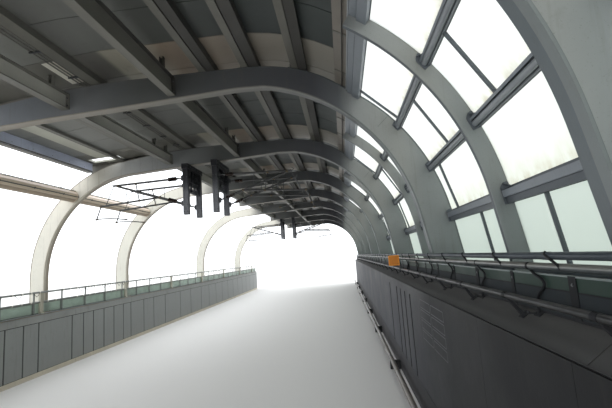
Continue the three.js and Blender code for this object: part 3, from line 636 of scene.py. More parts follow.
for k, y in enumerate(RIB_Y):
    s = Shape()
    out, inn = rib_lines(LEGS[k])
    no, ni = normals2(out), normals2(inn)      # both point inwards, to the arch's middle

    def strip(line, nn, n0, n1, y0, y1, mi):
        s.rings([[(p[0] + n[0] * n0, y + y0, p[1] + n[1] * n0), (p[0] + n[0] * n0, y + y1, p[1] + n[1] * n0),
                  (p[0] + n[0] * n1, y + y1, p[1] + n[1] * n1), (p[0] + n[0] * n1, y + y0, p[1] + n[1] * n1)] for p, n in zip(line, nn)], mi)

    strip(out, no, 0.0, FL, -0.09, 0.09, 1)
    # inner flange in two halves: painted light on the near half, painted shade on the far half
    strip(inn, ni, -FL, 0.0, -0.09, -0.012, 3)
    strip(inn, ni, -FL, 0.0, -0.012, 0.09, 4)
    for y0, y1 in ((-0.086, -0.074), (0.074, 0.086)):
        s.rings([[(a[0] + na[0] * FL * 0.9, y + y0, a[1] + na[1] * FL * 0.9), (a[0] + na[0] * FL * 0.9, y + y1, a[1] + na[1] * FL * 0.9),
                  (b[0] - nb[0] * FL * 0.9, y + y1, b[1] - nb[1] * FL * 0.9), (b[0] - nb[0] * FL * 0.9, y + y0, b[1] - nb[1] * FL * 0.9)]
                 for a, na, b, nb in zip(out, no, inn, ni)], 0)
    # weld beads in the corners between side plates and flanges
    for line, nn, off in ((out, no, FL + 0.002), (inn, ni, -FL - 0.002)):
        for sy in (-1, 1):
            s.pipe([(p[0] + n[0] * off, y + sy * 0.0865, p[1] + n[1] * off) for p, n in list(zip(line, nn))[1:-1]], 0.0032, 6, 1)
    base_plate(s, 4.985, 5.535, y, 2.2)
    # foot stiffeners beside the box
    for sy in (-1, 1):
        for x in (5.15, 5.33):
            s.prism_x([(y + sy * 0.085, 2.222), (y + sy * 0.132, 2.222), (y + sy * 0.132, 2.245), (y + sy * 0.085, 2.36)], x - 0.005, x + 0.005, 1)
    if LEGS[k]:
        base_plate(s, -5.31, -4.77, y, 1.62)
        for sy in (-1, 1):
            for x in (-5.13, -4.96):
                s.prism_x([(y + sy * 0.085, 1.642), (y + sy * 0.132, 1.642), (y + sy * 0.132, 1.665), (y + sy * 0.085, 1.8)], x - 0.005, x + 0.005, 1)
    else:
        s.box(STEP_X + 0.0002, STEP_X + 0.014, y - 0.088, y + 0.088, inn[-1][1] + 0.003, out[-1][1] - 0.003, 1)
        for z in (5.44, 5.62, 5.8):
            for sy in (-0.06, 0.06):
                s.bolt((STEP_X + 0.0004, y + sy, z), (-1, 0, 0), 0.008, 0.0003, 2)
    # site weld across the side plates
    for deg, side, c, r0, r1 in ((43.2, 1, HC, 2.93, 3.165), ) + (((52.0, -1, (LEFT[0], LEFT[1]), 2.80, 3.165),) if LEGS[k] else ()):
        a = math.radians(deg)
        for sy in (-1, 1):
            p = Vector((c[0] + side * r0 * math.cos(a), y + sy * 0.0865, c[1] + r0 * math.sin(a)))
            q = Vector((c[0] + side * r1 * math.cos(a), y + sy * 0.0865, c[1] + r1 * math.sin(a)))
            s.pipe([p, p.lerp(q, 0.5), q], 0.003, 6, 1)
    roof_cleats(s, y, out)
    # painted light on the free arches, deeper painted shade on the two near ribs
    free = k > 2
    make(f"main_rib_{k}_section", s, [M_RIB_FREE if free else M_RIB_NEAR if k < 2 else M_RIB, M_RIB_EDGE_FREE if free else M_RIB_EDGE, M_BOLT,
                                      M_SOFFIT_NEAR_FREE if free else M_SOFFIT_NEAR, M_SOFFIT_FAR_FREE if free else M_SOFFIT_FAR], f"main_rib_{k}", bevel=0.0)

# ------------------------------------------------------------------ glazing frames on the right
def arc_box(s, d0, d1, r0, r1, y0, y1, mi=0, step=1.5):
    n = max(1, int(math.ceil(abs(d1 - d0) / step)))
    rings = []
    for i in range(n + 1):
        d = d0 + (d1 - d0) * i / n
        a, b = hp(d, r0), hp(d, r1)
        rings.append([(a[0], y0, a[1]), (a[0], y1, a[1]), (b[0], y1, b[1]), (b[0], y0, b[1])])
    s.rings(rings, mi)


def radial(deg, r, y):
    p = hp(deg, r)
    return (p[0], y, p[1])


def glazing_purlin(s, name, lo, hi, y0, y1):
    w = hi - lo
    mm = math.degrees(0.001 / R_OUT)          # one millimetre along the arc, in degrees
    arc_box(s, lo + 2 * mm, hi - 2 * mm, R_OUT - 0.012, R_OUT - 0.0006, y0, y1, 1)                       # back plate
    if name == "sill":
        arc_box(s, lo + 4 * mm, hi - 40 * mm, R_OUT - 0.085, R_OUT - 0.012, y0, y1, 0)
        tc, tr = hi - 24 * mm, 0.020
    elif name == "a":
        arc_box(s, lo + 4 * mm, lo + w * 0.40, R_OUT - 0.07, R_OUT - 0.012, y0, y1, 1)
        arc_box(s, lo + w * 0.40, hi - 30 * mm, R_OUT - 0.092, R_OUT - 0.012, y0, y1, 0)
        tc, tr = lo + w * 0.33, 0.014
    elif name == "top":
        arc_box(s, lo + 6 * mm, lo + w * 0.55, R_OUT - 0.08, R_OUT - 0.012, y0, y1, 0)
        arc_box(s, lo + w * 0.62, hi - 4 * mm, R_OUT - 0.055, R_OUT - 0.012, y0, y1, 0)
        tc, tr = hi - 26 * mm, 0.018
    else:
        arc_box(s, lo + 4 * mm, lo + 15 * mm, R_OUT - 0.046, R_OUT - 0.012, y0, y1, 1)
        arc_box(s, hi - 42 * mm, hi - 16 * mm, R_OUT - 0.072, R_OUT - 0.012, y0, y1, 0)
        arc_box(s, hi - 14 * mm, hi - 4 * mm, R_OUT - 0.04, R_OUT - 0.012, y0, y1, 1)
        arc_box(s, lo + 44 * mm, lo + 72 * mm, R_OUT - 0.03, R_OUT - 0.012, y0, y1, 1)
        tc, tr = lo + 57 * mm, 0.033
    c = hp(tc, R_OUT - 0.014 - tr)
    s.tube((c[0], y0, c[1]), (c[0], y1, c[1]), tr, 14, 2 if name in ("b", "c", "top") else 0)
    # seal against the glass on both edges
    for d in (lo - 2 * mm, hi - 4 * mm):
        arc_box(s, d, d + 6 * mm, R_OUT - 0.006, R_OUT + 0.0003, y0, y1, 3)


def end_plate(s, name, lo, hi, y, sy):
    """The shaped plate and gusset that tie a purlin to the slim rib, on its sy side."""
    mm = math.degrees(0.001 / R_OUT)
    if name in ("sill", "top"):
        return
    w = (hi - lo) / mm
    a, b = (y + sy * 0.035, y + sy * 0.047)
    y0, y1 = min(a, b), max(a, b)
    outline = [hp(lo - 6 * mm, R_OUT - 0.002), hp(lo - 4 * mm, R_OUT - 0.094), hp(hi + 2 * mm, R_OUT - 0.094),
               hp(hi + 30 * mm, R_OUT - 0.075), hp(hi + 46 * mm, R_OUT - 0.05), hp(hi + 46 * mm, R_OUT - 0.002)]
    s.prism_y(outline, y0, y1, 1)
    p = hp(hi + 34 * mm, R_OUT - 0.04)
    s.tube((p[0], y + sy * 0.033, p[1]), (p[0], y + sy * 0.085, p[1]), 0.017, 12, 1)
    # concave gusset in the plane of the glass
    pts = []
    for i in range(9):
        t = i / 8
        pts.append((hi + (44 * (1 - t) ** 2.4) * mm, y + sy * (0.047 + 0.11 * t)))
    r0, r1 = R_OUT - 0.03, R_OUT - 0.016
    ring0 = [radial(d, r0, yy) for d, yy in pts] + [radial(hi - 8 * mm, r0, pts[-1][1]), radial(hi - 8 * mm, r0, pts[0][1])]
    ring1 = [radial(d, r1, yy) for d, yy in pts] + [radial(hi - 8 * mm, r1, pts[-1][1]), radial(hi - 8 * mm, r1, pts[0][1])]
    s.rings([ring0, ring1], 1)
    for f in (0.25, 0.7):
        q = hp(lo + (hi - lo) * f, R_OUT - 0.05)
        s.bolt((q[0], y + sy * 0.047, q[1]), (0, sy, 0), 0.01, 0.01, 4)


BARS_A = {("b", "c"): 1.415, ("sill", "a"): 1.365}                                  # metres past the rib before the slim rib
BARS_B = {("c", "top"): -0.305, ("b", "c"): -1.195, ("a", "b"): -0.47, ("sill", "a"): -1.275}   # before the next main rib
for k in range(BAYS):
    s = Shape()
    ym, yr = SLIM_Y[k], RIB_Y[k]
    ya = Y0 if k == 0 else RIB_Y[k - 1] + RIB_HALF
    yb = yr - RIB_HALF
    # slim rib: a rounded box section
    line = [lean_at(HC[0], HC[1], R_OUT, LEAN, 2.2224)] + arc(HC[0], HC[1], R_OUT, LEAN, 57.5, 1, 1.5)
    s.sweep(line, [(0.0006, -0.035), (0.0006, 0.035), (0.183, 0.035), (0.19, 0.029), (0.19, -0.029), (0.183, -0.035)], ym, 5)
    s.sweep([p for p in line], [(0.1885, -0.024), (0.1885, 0.024), (0.1915, 0.024), (0.1915, -0.024)], ym, 1)
    s.box(5.25, 5.53, ym - 0.1, ym + 0.1, 2.2004, 2.2224, 0)
    for bx in (5.268, 5.512):
        for by in (-0.075, 0.075):
            s.bolt((bx, ym + by, 2.2224), (0, 0, 1), 0.012, 0.014, 4)
    for name, (lo, hi) in PURLINS.items():
        glazing_purlin(s, name, lo, hi, ya, ym - 0.034)
        glazing_purlin(s, name, lo, hi, ym + 0.034, yb)
        for sy in (-1, 1):
            end_plate(s, name, lo, hi, ym, sy)
        # end plates against the main ribs
        for edge, direction in ((ya, -1), (yb, 1)):
            if edge == Y0:
                continue
            if name not in ("sill", "top"):
                mm = math.degrees(0.001 / R_OUT)
                c, d = edge, edge - direction * 0.012
                s.prism_y([hp(lo - 4 * mm, R_OUT - 0.002), hp(lo - 2 * mm, R_OUT - 0.094), hp(hi + 2 * mm, R_OUT - 0.094), hp(hi + 22 * mm, R_OUT - 0.05), hp(hi + 22 * mm, R_OUT - 0.002)],
                          min(c, d), max(c, d), 1)
    # glazing bars
    for table, base in ((BARS_A, ya - RIB_HALF if k else -15.75 - PITCH), (BARS_B, yr)):
        for (n0, n1), off in table.items():
            yy = base + off
            if not (Y0 + 0.05 < yy < Y1):
                continue
            # a straight bar from purlin to purlin
            d0, d1 = PURLINS[n0][1] - 0.05, PURLINS[n1][0] + 0.05
            s.prism_y([hp(d0, R_OUT - 0.001), hp(d1, R_OUT - 0.001), hp(d1, R_OUT - 0.031), hp(d0, R_OUT - 0.031)], yy - 0.015, yy + 0.015, 1)
    # cap strips outside the glass
    for name, (lo, hi) in PURLINS.items():
        mid = (lo + hi) / 2
        if name != "top":
            arc_box(s, mid - 0.75, mid + 0.75, R_OUT + 0.015, R_OUT + 0.027, ya - (RIB_HALF if k else 0) + 0.004, yr - 0.004, 6)
    for yy, hw in ((ym, 0.035), (yr, 0.05)):
        arc_box(s, -6.6, 55.4, R_OUT + 0.0152, R_OUT + 0.03, yy - hw, yy + hw, 6)
    for d in range(0, 54, 6):
        for yy in (ym, yr):
            s.bolt(radial(d + 2, R_OUT + 0.03, yy), (math.cos(math.radians(d + 2)), 0, math.sin(math.radians(d + 2))), 0.007, 0.006, 4)
    make(f"glazing_frame_{k}_members", s, [M_GLAZE, M_GLAZE_DARK, M_TUBE_LIGHT, M_SEAL, M_BOLT, M_RIB, M_CAP], f"glazing_frame_{k}")

# ------------------------------------------------------------------ milky glass
CELLS = [(-6.63, 8.73), (8.81, 23.73), (23.82, 39.03), (39.12, 55.4)]
for k in range(BAYS):
    s = Shape()
    a = Y0 if k == 0 else RIB_Y[k - 1] + 0.005
    b = Y1 if k == BAYS - 1 else RIB_Y[k] - 0.005
    cuts = [(a, SLIM_Y[k] - 0.005), (SLIM_Y[k] + 0.005, min(b, RIB_Y[k] - 0.005))]
    if k == BAYS - 1:
        cuts.append((RIB_Y[k] + 0.005, Y1))
    for lo, hi in CELLS:
        for y0, y1 in cuts:
            arc_box(s, lo, hi, R_OUT + 0.0005, R_OUT + 0.0145, y0, y1, 0, 1.2)
    make(f"glass_sheet_{k}_panes", s, [M_GLASS], f"glass_sheet_{k}")

# ------------------------------------------------------------------ roof
SEAM = 0.84
ROOF_PARTS = [("front", Y0, RIB_Y[2] - RIB_HALF - 0.6), ("middle", RIB_Y[2] - RIB_HALF - 0.59, RIB_Y[5] + RIB_HALF + 0.6), ("rear", RIB_Y[5] + RIB_HALF + 0.61, Y1)]
SLOT_X = (-3.3, -2.42)
RIB_TOP = [tuple(p) for p in rib_lines(True)[0] if p[1] > 4.9]


def rib_top(x):
    return line_at(RIB_TOP, x)


def roof_line(x0, x1):
    xs = sorted({x0, x1, *[x for x, _ in ROOF if x0 < x < x1], *[x for x in np.arange(-3.5, 4.0, 0.35) if x0 < x < x1]})
    return [(x, under(x)) for x in xs]


def roof_slab(s, x0, x1, y0, y1, lift0, lift1, mi, drop=0.0):
    rings = []
    for x, z in roof_line(x0, x1):
        rings.append([(x, y0, z + lift0 - drop), (x, y1, z + lift0), (x, y1, z + lift1), (x, y0, z + lift1)])
    s.rings(rings, mi)


for name, y0, y1 in ROOF_PARTS:
    s = Shape()
    wide = min(y1, STEP_Y)          # the wide roof ends here, or before y0 on the rear part
    seams = sorted({round(RIB_Y[k] - SEAM * j, 4) for k in range(-1, BAYS) for j in range(0, 5)} | {round(Y1, 4)} | {round(RIB_Y[-1] + SEAM * j, 4) for j in (1, 2, 3)})
    cuts = sorted({y0, y1, *[q for q in seams if y0 + 0.05 < q < y1 - 0.05 and abs(q - STEP_Y) > 0.1], *([STEP_Y] if y0 < STEP_Y < y1 else [])})
    slots = [(RIB_Y[k] - 0.45, RIB_Y[k] - 0.11) for k in range(3) if y0 < RIB_Y[k] < y1 + 0.2]
    for a, b in zip(cuts, cuts[1:]):
        inner = sorted({a, b, *[q for sl in slots for q in sl if a < q < b]})
        for c, d in zip(inner, inner[1:]):
            mid = (c + d) / 2
            holed = any(p <= mid <= q for p, q in slots)
            lo = c + (0.007 if c == a and a != y0 else 0)
            hi = d - (0.007 if d == b and b != y1 else 0)
            for x0, x1 in ([(-3.56, SLOT_X[0]), (SLOT_X[1], 4.038)] if holed else [(-3.56 if mid < STEP_Y else STEP_X, 4.038)]):
                roof_slab(s, x0, x1, lo, hi, 0.0, 0.012, 0)
                roof_slab(s, x0, x1, c, d, 0.012, 0.024, 2)
    # standing seams on top
    n = int((y1 - y0) / 0.42)
    for i in range(n + 1):
        yy = y0 + 0.017 + (y1 - y0 - 0.034) * i / n
        holed = any(p - 0.02 <= yy <= q + 0.02 for p, q in slots)
        if abs(yy - STEP_Y) < 0.02:
            continue
        for x0, x1 in ([(-3.56, SLOT_X[0] - 0.03), (SLOT_X[1] + 0.03, 4.038)] if holed else [(-3.56 if yy < STEP_Y else STEP_X, 4.038)]):
            roof_slab(s, x0, x1, yy - 0.006, yy + 0.006, 0.023, 0.05, 2)
            roof_slab(s, x0, x1, yy - 0.016, yy + 0.016, 0.023, 0.028, 2)
    # pale curbs round the light slots, on top of the sheet; their pale colour is painted light, so each slot reads
    # bright all over
    for p, q in slots:
        for x in SLOT_X:
            z = under(x)
            s.box(x - 0.01, x + 0.01, p, q, z - 0.004, z + 0.045, 8)
        for yy in (p, q):
            roof_slab(s, SLOT_X[0], SLOT_X[1], yy - 0.008, yy + 0.008, -0.004, 0.045, 8)
    # pale strip of ceiling beside the slots
    a, stop = max(y0, RIB_Y[1] + 0.1), wide
    gaps = [(p - 0.02, q + 0.02) for p, q in slots if q > a] + [(stop, stop)]
    for p, q in gaps:
        if p - a > 0.1:
            roof_slab(s, -3.0, -2.57, a, min(p, stop), -0.005, 0.0006, 8)
        a = q
    # longitudinal purlins on the ribs
    for x0, x1, p, q in ((-2.56, -2.44, y0, wide), (-1.805, -1.695, y0, wide), (-1.35, -1.26, max(y0, STEP_Y), y1), (-0.535, -0.425, y0, y1)):
        if q - p < 0.1:
            continue
        xm = (x0 + x1) / 2
        zb = max(rib_top(x0), rib_top(x1)) + 0.002
        zt = under(xm) + 0.004
        xf = -0.62 if x0 == -0.535 else x0
        s.prism_y([(xf, zb), (x1, zb), (x1, zb + 0.009), (xf, zb + 0.009)], p, q, 3)
        if x0 == STEP_X:
            s.box(x0, x0 + 0.008, p, q, zb + 0.009, zt - 0.004, 3)
        else:                       # box purlin
            s.prism_y([(x0 + 0.004, zb + 0.0085), (x1 - 0.004, zb + 0.0085), (x1 - 0.004, under(x1) - 0.002), (x0 + 0.004, under(x0) - 0.002)], p, q, 4)
            continue
        s.box(x0 + 0.01, x1 - 0.01, p, q, zt - 0.014, zt - 0.004, 4)
    for x0, x1 in ((1.37, 1.64), (2.11, 2.4), (2.96, 3.22)):
        zb = max(rib_top(x0), rib_top(x0 + 0.11)) + 0.002
        zt = min(under(x0), under(x0 + 0.11)) + 0.002
        s.box(x0, x0 + 0.11, y0, y1, zb, zb + 0.01, 3)
        s.box(x0 + 0.05, x0 + 0.06, y0, y1, zb + 0.01, zt, 4)
        s.box(x0 + 0.005, x0 + 0.105, y0, y1, zt - 0.01, zt, 4)
        # closed duct beside it
        zc = max(rib_top(x0 + 0.125), rib_top(x1)) + 0.012
        zd = min(under(x0 + 0.125), under(x1)) - 0.002
        s.box(x0 + 0.125, x1, y0, y1, zc, zd, 4)
    # purlin splice plates near the ribs, with bolts
    for k, yr in enumerate(RIB_Y):
        if not (y0 + 0.6 < yr < y1 - 0.5):
            continue
        for xm in ((-2.5, -1.75) if yr < RIB_Y[2] - 0.1 else ()) + (-0.48, 1.43, 2.17, 3.02):
            zb = rib_top(xm) + 0.02
            for sy in (-1, 1):
                yy = yr + sy * 0.34
                s.box(xm + 0.007, xm + 0.014, yy - 0.11, yy + 0.11, zb, zb + 0.045, 3)
                for j in (-0.07, 0.07):
                    s.bolt((xm + 0.014, yy + j, zb + 0.022), (1, 0, 0), 0.008, 0.008, 5)
    # deep ties between the ribs, hung from the sheet
    ribs = [yr for yr in RIB_Y if y0 - 0.3 < yr < y1 + 0.3]
    edges = sorted({y0, y1, *[q for yr in ribs for q in (yr - 0.0904, yr + 0.0904) if y0 < q < y1]})
    for xc, w, zb, zt in ((-1.07, 0.15, 5.5, 5.78), (0.87, 0.13, 5.545, 5.87)):
        h = w / 2 - 0.001
        for a, b in zip(edges, edges[1:]):
            if b - a < 0.3:
                continue
            s.box(xc - h, xc + h, a, b, zb, zb + 0.014, 3)
            s.box(xc - 0.006, xc + 0.006, a, b, zb + 0.014, zt - 0.012, 9)
            s.box(xc - h, xc + h, a, b, zt - 0.012, zt, 4)
            for e, sg in ((a, 1), (b, -1)):
                if e in (y0, y1):
                    continue
                s.box(xc - h, xc + h, min(e, e + sg * 0.014), max(e, e + sg * 0.014), zb + 0.014, zt - 0.012, 4)
                for z in (zb + 0.07, zt - 0.07):
                    for dx in (-0.04, 0.04):
                        s.bolt((xc + dx, e + sg * 0.014, z), (0, sg, 0), 0.011, 0.011, 5)
            # hangers: a pair of angles, a foot plate and its bolts
            for yy in ([a + 0.35, b - 0.35] if b - a > 1.4 else [(a + b) / 2]):
                top = under(xc) + 0.002
                for sx in (-1, 1):
                    s.box(*sorted((xc + sx * 0.035, xc + sx * 0.026)), yy - 0.035, yy + 0.035, zt, top, 4)
                    s.box(*sorted((xc + sx * 0.026, xc + sx * 0.006)), yy + 0.026, yy + 0.035, zt, top, 4)
                s.box(xc - 0.05, xc + 0.05, yy - 0.05, yy + 0.05, zt, zt + 0.01, 3)
                for dy in (-0.042, 0.042):
                    s.bolt((xc, yy + dy, zt + 0.01), (0, 0, 1), 0.006, 0.008, 5)
    # gutter along the right edge: sheet trough with stiffened lips
    for d0, d1, r0, r1 in ((56.2, 62.0, 3.2075, 3.2165), (56.2, 56.45, 3.2165, 3.38), (61.75, 62.0, 3.2165, 3.3), (56.2, 56.9, 3.37, 3.38)):
        arc_box(s, d0, d1, r0, r1, y0, y1, 6)
    yy = y0 + 0.5
    while yy < y1 - 0.3:
        arc_box(s, 56.0, 61.9, 3.2, 3.2078, yy - 0.02, yy + 0.02, 3)
        yy += 1.05
    # light tube below the trough, between the ribs
    for a, b in zip(edges, edges[1:]):
        if b - a < 0.3:
            continue
        p = hp(58.0, 3.178)
        q0, q1 = a, b
        s.tube((p[0], q0, p[1]), (p[0], q1, p[1]), 0.015, 10, 7)
        p = hp(59.6, 3.19)
        s.tube((p[0], q0, p[1]), (p[0], q1, p[1]), 0.008, 8, 4)
    # conduits and their clips
    for x in (-0.64, -0.7, -0.76, -0.82):
        z = under(x) - 0.035
        s.tube((x, y0, z), (x, y1, z), 0.011, 8, 4)
    yy = y0 + 0.3
    while yy < y1:
        s.box(-0.85, -0.61, yy - 0.012, yy + 0.012, under(-0.85) - 0.05, under(-0.85) - 0.018, 5)
        yy += 0.84
    # painted light: pale patches by the conduits, thin sheets that stand for light falling on the ceiling ahead of each
    # rib
    for yr in ribs:
        if y0 < yr - 0.84 and yr < y1 + 0.2:
            b = min(yr - 0.07, y1 - 0.01)
            if b > yr - 0.8:
                roof_slab(s, -0.96, -0.545, yr - 0.8, b, -0.006, 0.0005, 1)
    # drip edges at the left, and the closing plate where the roof steps in
    if wide - y0 > 0.1:
        roof_slab(s, -3.559, -3.5, y0, wide, -0.008, 0.03, 3)
    if y1 > STEP_Y:
        roof_slab(s, STEP_X + 0.0005, STEP_X + 0.05, max(y0, STEP_Y), y1, -0.008, 0.03, 3)
    if y0 < STEP_Y < y1:
        roof_slab(s, -3.558, STEP_X, STEP_Y - 0.008, STEP_Y, -0.02, 0.03, 3)
        xs = [x for x, _ in roof_line(-3.55, STEP_X)]
        s.prism_y([(x, under(x) - 0.001) for x in xs] + [(x, rib_top(x) + 0.0015) for x in reversed(xs)], STEP_Y - 0.006, STEP_Y, 0)
    make(f"roof_deck_{name}_sheets", s, [M_ROOF, M_ROOF_LIT_PATCH, M_ROOF_TOP, M_PURLIN, M_PURLIN_DARK, M_BOLT, M_GUTTER, M_TUBE_LIGHT, M_STRIP, M_TIE_WEB], f"roof_deck_{name}")

# ------------------------------------------------------------------ left eaves beam
s = Shape()
zt = under(-3.55) - 0.001
EY = RIB_Y[2] - 0.0904        # the beam runs up to rib 2, where the roof steps in
s.box(-3.41, -3.4005, Y0, EY, 5.475, zt, 0)                 # inner web
s.box(-3.549, -3.54, Y0, EY, 5.475, zt, 0)                  # outer web
s.box(-3.55, -3.4, Y0, EY, 5.47, 5.482, 1)                  # bottom flange
s.box(-3.545, -3.405, Y0, EY, zt - 0.01, zt, 0)
s.box(-3.4008, -3.396, Y0, EY, 5.49, 5.515, 1)              # lower lip line
s.box(-3.4008, -3.397, Y0, EY, 5.64, 5.652, 0)
for k, yr in enumerate(RIB_Y[:2]):
    # joint cover plates and their bolts; seats on the legs
    s.box(-3.4008, -3.394, yr - 0.11, yr + 0.11, 5.52, 5.635, 0) if LEGS[k] else None
    if LEGS[k]:
        for dy in (-0.08, 0.08):
            for z in (5.545, 5.61):
                s.bolt((-3.394, yr + dy, z), (1, 0, 0), 0.009, 0.009, 2)
        s.box(-3.52, -3.43, yr - 0.06, yr + 0.06, 5.385, 5.4702, 1)
    s.box(-3.545, -3.405, yr - 0.004, yr + 0.004, 5.48, zt - 0.008, 0)
for yy in np.arange(Y0 + 0.3, EY - 0.1, 0.6):
    s.bolt((-3.4008, yy, 5.575), (1, 0, 0), 0.006, 0.006, 2)
for a, b in ((Y0, Y0 + 0.006), (EY - 0.006, EY)):
    s.box(-3.549, -3.401, a, b, 5.475, zt - 0.002, 0)
make("left_eaves_beam_channel", s, [M_EAVES, M_PURLIN, M_BOLT], "left_eaves_beam")

# ------------------------------------------------------------------ left tie tube
TX = LEFT[0] - 2.965 * math.cos(math.radians(49.5))
TZ = LEFT[1] + 2.965 * math.sin(math.radians(49.5))
for k in range(4):
    s = Shape()
    a = Y0 if k == 0 else RIB_Y[k - 1] + 0.0075
    b = RIB_Y[k] - 0.0075
    n = 40
    def ring(yy, r=0.16):
        return [(TX + r * math.cos(2 * math.pi * j / n), yy, TZ + r * math.sin(2 * math.pi * j / n)) for j in range(n)]
    rings = [ring(a, 0.155), ring(a + 0.004), ring(b - 0.004), ring(b, 0.155)]
    base = len(s.v)
    s.rings(rings, 0)
    # painted shade: the lower part, faces that look down, gets a darker paint
    for i, f in enumerate(s.f):
        zz = sum(s.v[j][2] for j in f) / len(f)
        if len(f) == 4 and zz < TZ - 0.085:
            s.m[i] = 2
    # raised strip in a painted highlight colour, two line pipes and the collars at the ribs
    for ang, w, mi in ((28, 9, 1),):
        pts = []
        for d in np.linspace(ang - w, ang + w, 5):
            pts.append((math.cos(math.radians(d)), math.sin(math.radians(d))))
        outline = [(TX + c * 0.1595, TZ + q * 0.1595) for c, q in pts] + [(TX + c * 0.1655, TZ + q * 0.1655) for c, q in reversed(pts)]
        s.prism_y(outline, a + 0.03, b - 0.03, mi)
    for ang in (62, -8):
        px, pz = TX + 0.176 * math.cos(math.radians(ang)), TZ + 0.176 * math.sin(math.radians(ang))
        s.tube((px, a + 0.09, pz), (px, b - 0.09, pz), 0.013, 8, 3)
        for yy in np.arange(a + 0.5, b - 0.2, 1.0):
            s.box(px - 0.02, px + 0.02, yy - 0.012, yy + 0.012, pz - 0.018, pz + 0.018, 4)
    for edge, sg in ((a, 1), (b, -1)):
        if edge == Y0:
            s.lathe((TX, Y0, TZ), (TX, Y0 + 1, TZ), [(0, 0.188), (0.016, 0.188)], 40, 0)
            continue
        s.lathe((TX, edge + sg * 0.0, TZ), (TX, edge + sg, TZ), [(0, 0.192), (0.018, 0.192), (0.02, 0.188)], 40, 0)
        s.lathe((TX, edge + sg * 0.1, TZ), (TX, edge + sg, TZ), [(0, 0.168), (0.03, 0.168)], 40, 0)
        for j in range(8):
            q = math.radians(22.5 + 45 * j)
            s.bolt((TX + 0.176 * math.cos(q), edge + sg * 0.02, TZ + 0.176 * math.sin(q)), (0, sg, 0), 0.009, 0.01, 4)
    make(f"left_tie_tube_{k}_length", s, [M_TIE, M_TIE_HIGHLIGHT, M_TIE_SHADE, M_PURLIN, M_BOLT], f"left_tie_tube_{k}")

# ------------------------------------------------------------------ parapet walls
s = Shape()
core = [(4.6935, 0), (5.13, 0), (5.13, 1.8), (5.545, 2.005), (5.545, 2.194), (4.884, 2.194), (4.6935, 2.052)]
s.prism_y(core, Y0, Y1, 1)
R_JOINTS = [-17.0, -15.62, -14.2, -12.36, -11.55, -10.70, -10.13, -9.57, -9.01, -7.76, -6.9, -6.06, -5.2, -4.36, -3.5, -2.66, -1.8, -0.4, 1.0,
            2.4, 3.8, 5.2, 6.6, 8.0, 9.4, 10.8, 12.2, 13.6, 15.0, 16.4, 17.8]
cuts = [Y0] + R_JOINTS + [Y1]
DEEP_JOINTS = (-10.70, -10.13, -9.57, -9.01, -7.76)
for a, b in zip(cuts, cuts[1:]):
    s.box(4.68, 4.6945, a + (0.045 if a in DEEP_JOINTS else 0.002 if a != Y0 else 0), b - (0.045 if b in DEEP_JOINTS else 0.002 if b != Y1 else 0), 0.505, 2.034, 0)
# the dark edge strips in the wide joints are painted shadow, as cast by the panels' raised edges
for q in DEEP_JOINTS:       # wide joints: dark edge strips, closed above
    s.box(4.6803, 4.6943, q + 0.038, q + 0.0455, 0.508, 1.88, 1)
    s.box(4.6803, 4.6943, q - 0.0455, q - 0.038, 0.508, 1.88, 1)
    s.box(4.68, 4.6945, q - 0.044, q + 0.044, 1.885, 2.034, 0)
n = 12
for i in range(n):
    a, b = Y0 + (Y1 - Y0) * i / n, Y0 + (Y1 - Y0) * (i + 1) / n
    s.box(4.68, 4.6945, a + 0.003, b - 0.003, 0.0, 0.497, 0)                                    # plinth
    # coping slabs: sloped face and flat ledge
    s.prism_y([(4.6805, 2.0485), (4.6945, 2.038), (4.6945, 2.05), (4.882, 2.193), (5.55, 2.193), (5.55, 2.2), (4.88, 2.2), (4.68, 2.05)],
              a + (0.004 if i else 0), b - (0.004 if i < n - 1 else 0), 2)
    s.prism_y([(5.13, 1.79), (5.55, 1.995), (5.55, 2.192), (5.52, 2.192), (5.52, 2.01), (5.13, 1.82)], a + (0.004 if i else 0), b - (0.004 if i < n - 1 else 0), 2)
    # outer face panels
    s.box(5.128, 5.142, a + 0.01, b - 0.01, 0.06, 1.74, 0)
for i in range(2 * n):
    yy = Y0 + (Y1 - Y0) * (i + 0.5) / (2 * n)
    s.box(5.14, 5.165, yy - 0.09, yy + 0.09, 0.0, 1.78, 0)
# faint raised frames on one panel
for j in range(4):
    for i in range(2):
        a, b, c, d = -13.0 + i * 0.72, -12.34 + i * 0.72, 1.33 + j * 0.15, 1.455 + j * 0.15
        for p, q, u, v in ((a, b, c, c + 0.01), (a, b, d - 0.01, d), (a, a + 0.014, c, d), (b - 0.014, b, c, d)):
            s.box(4.6788, 4.6802, p, q, u, v, 3)
make("right_parapet_panels", s, [M_WALL_R, M_WALL_R_CORE, M_COPING, M_FRAME_R], "right_parapet", bevel=0.0)

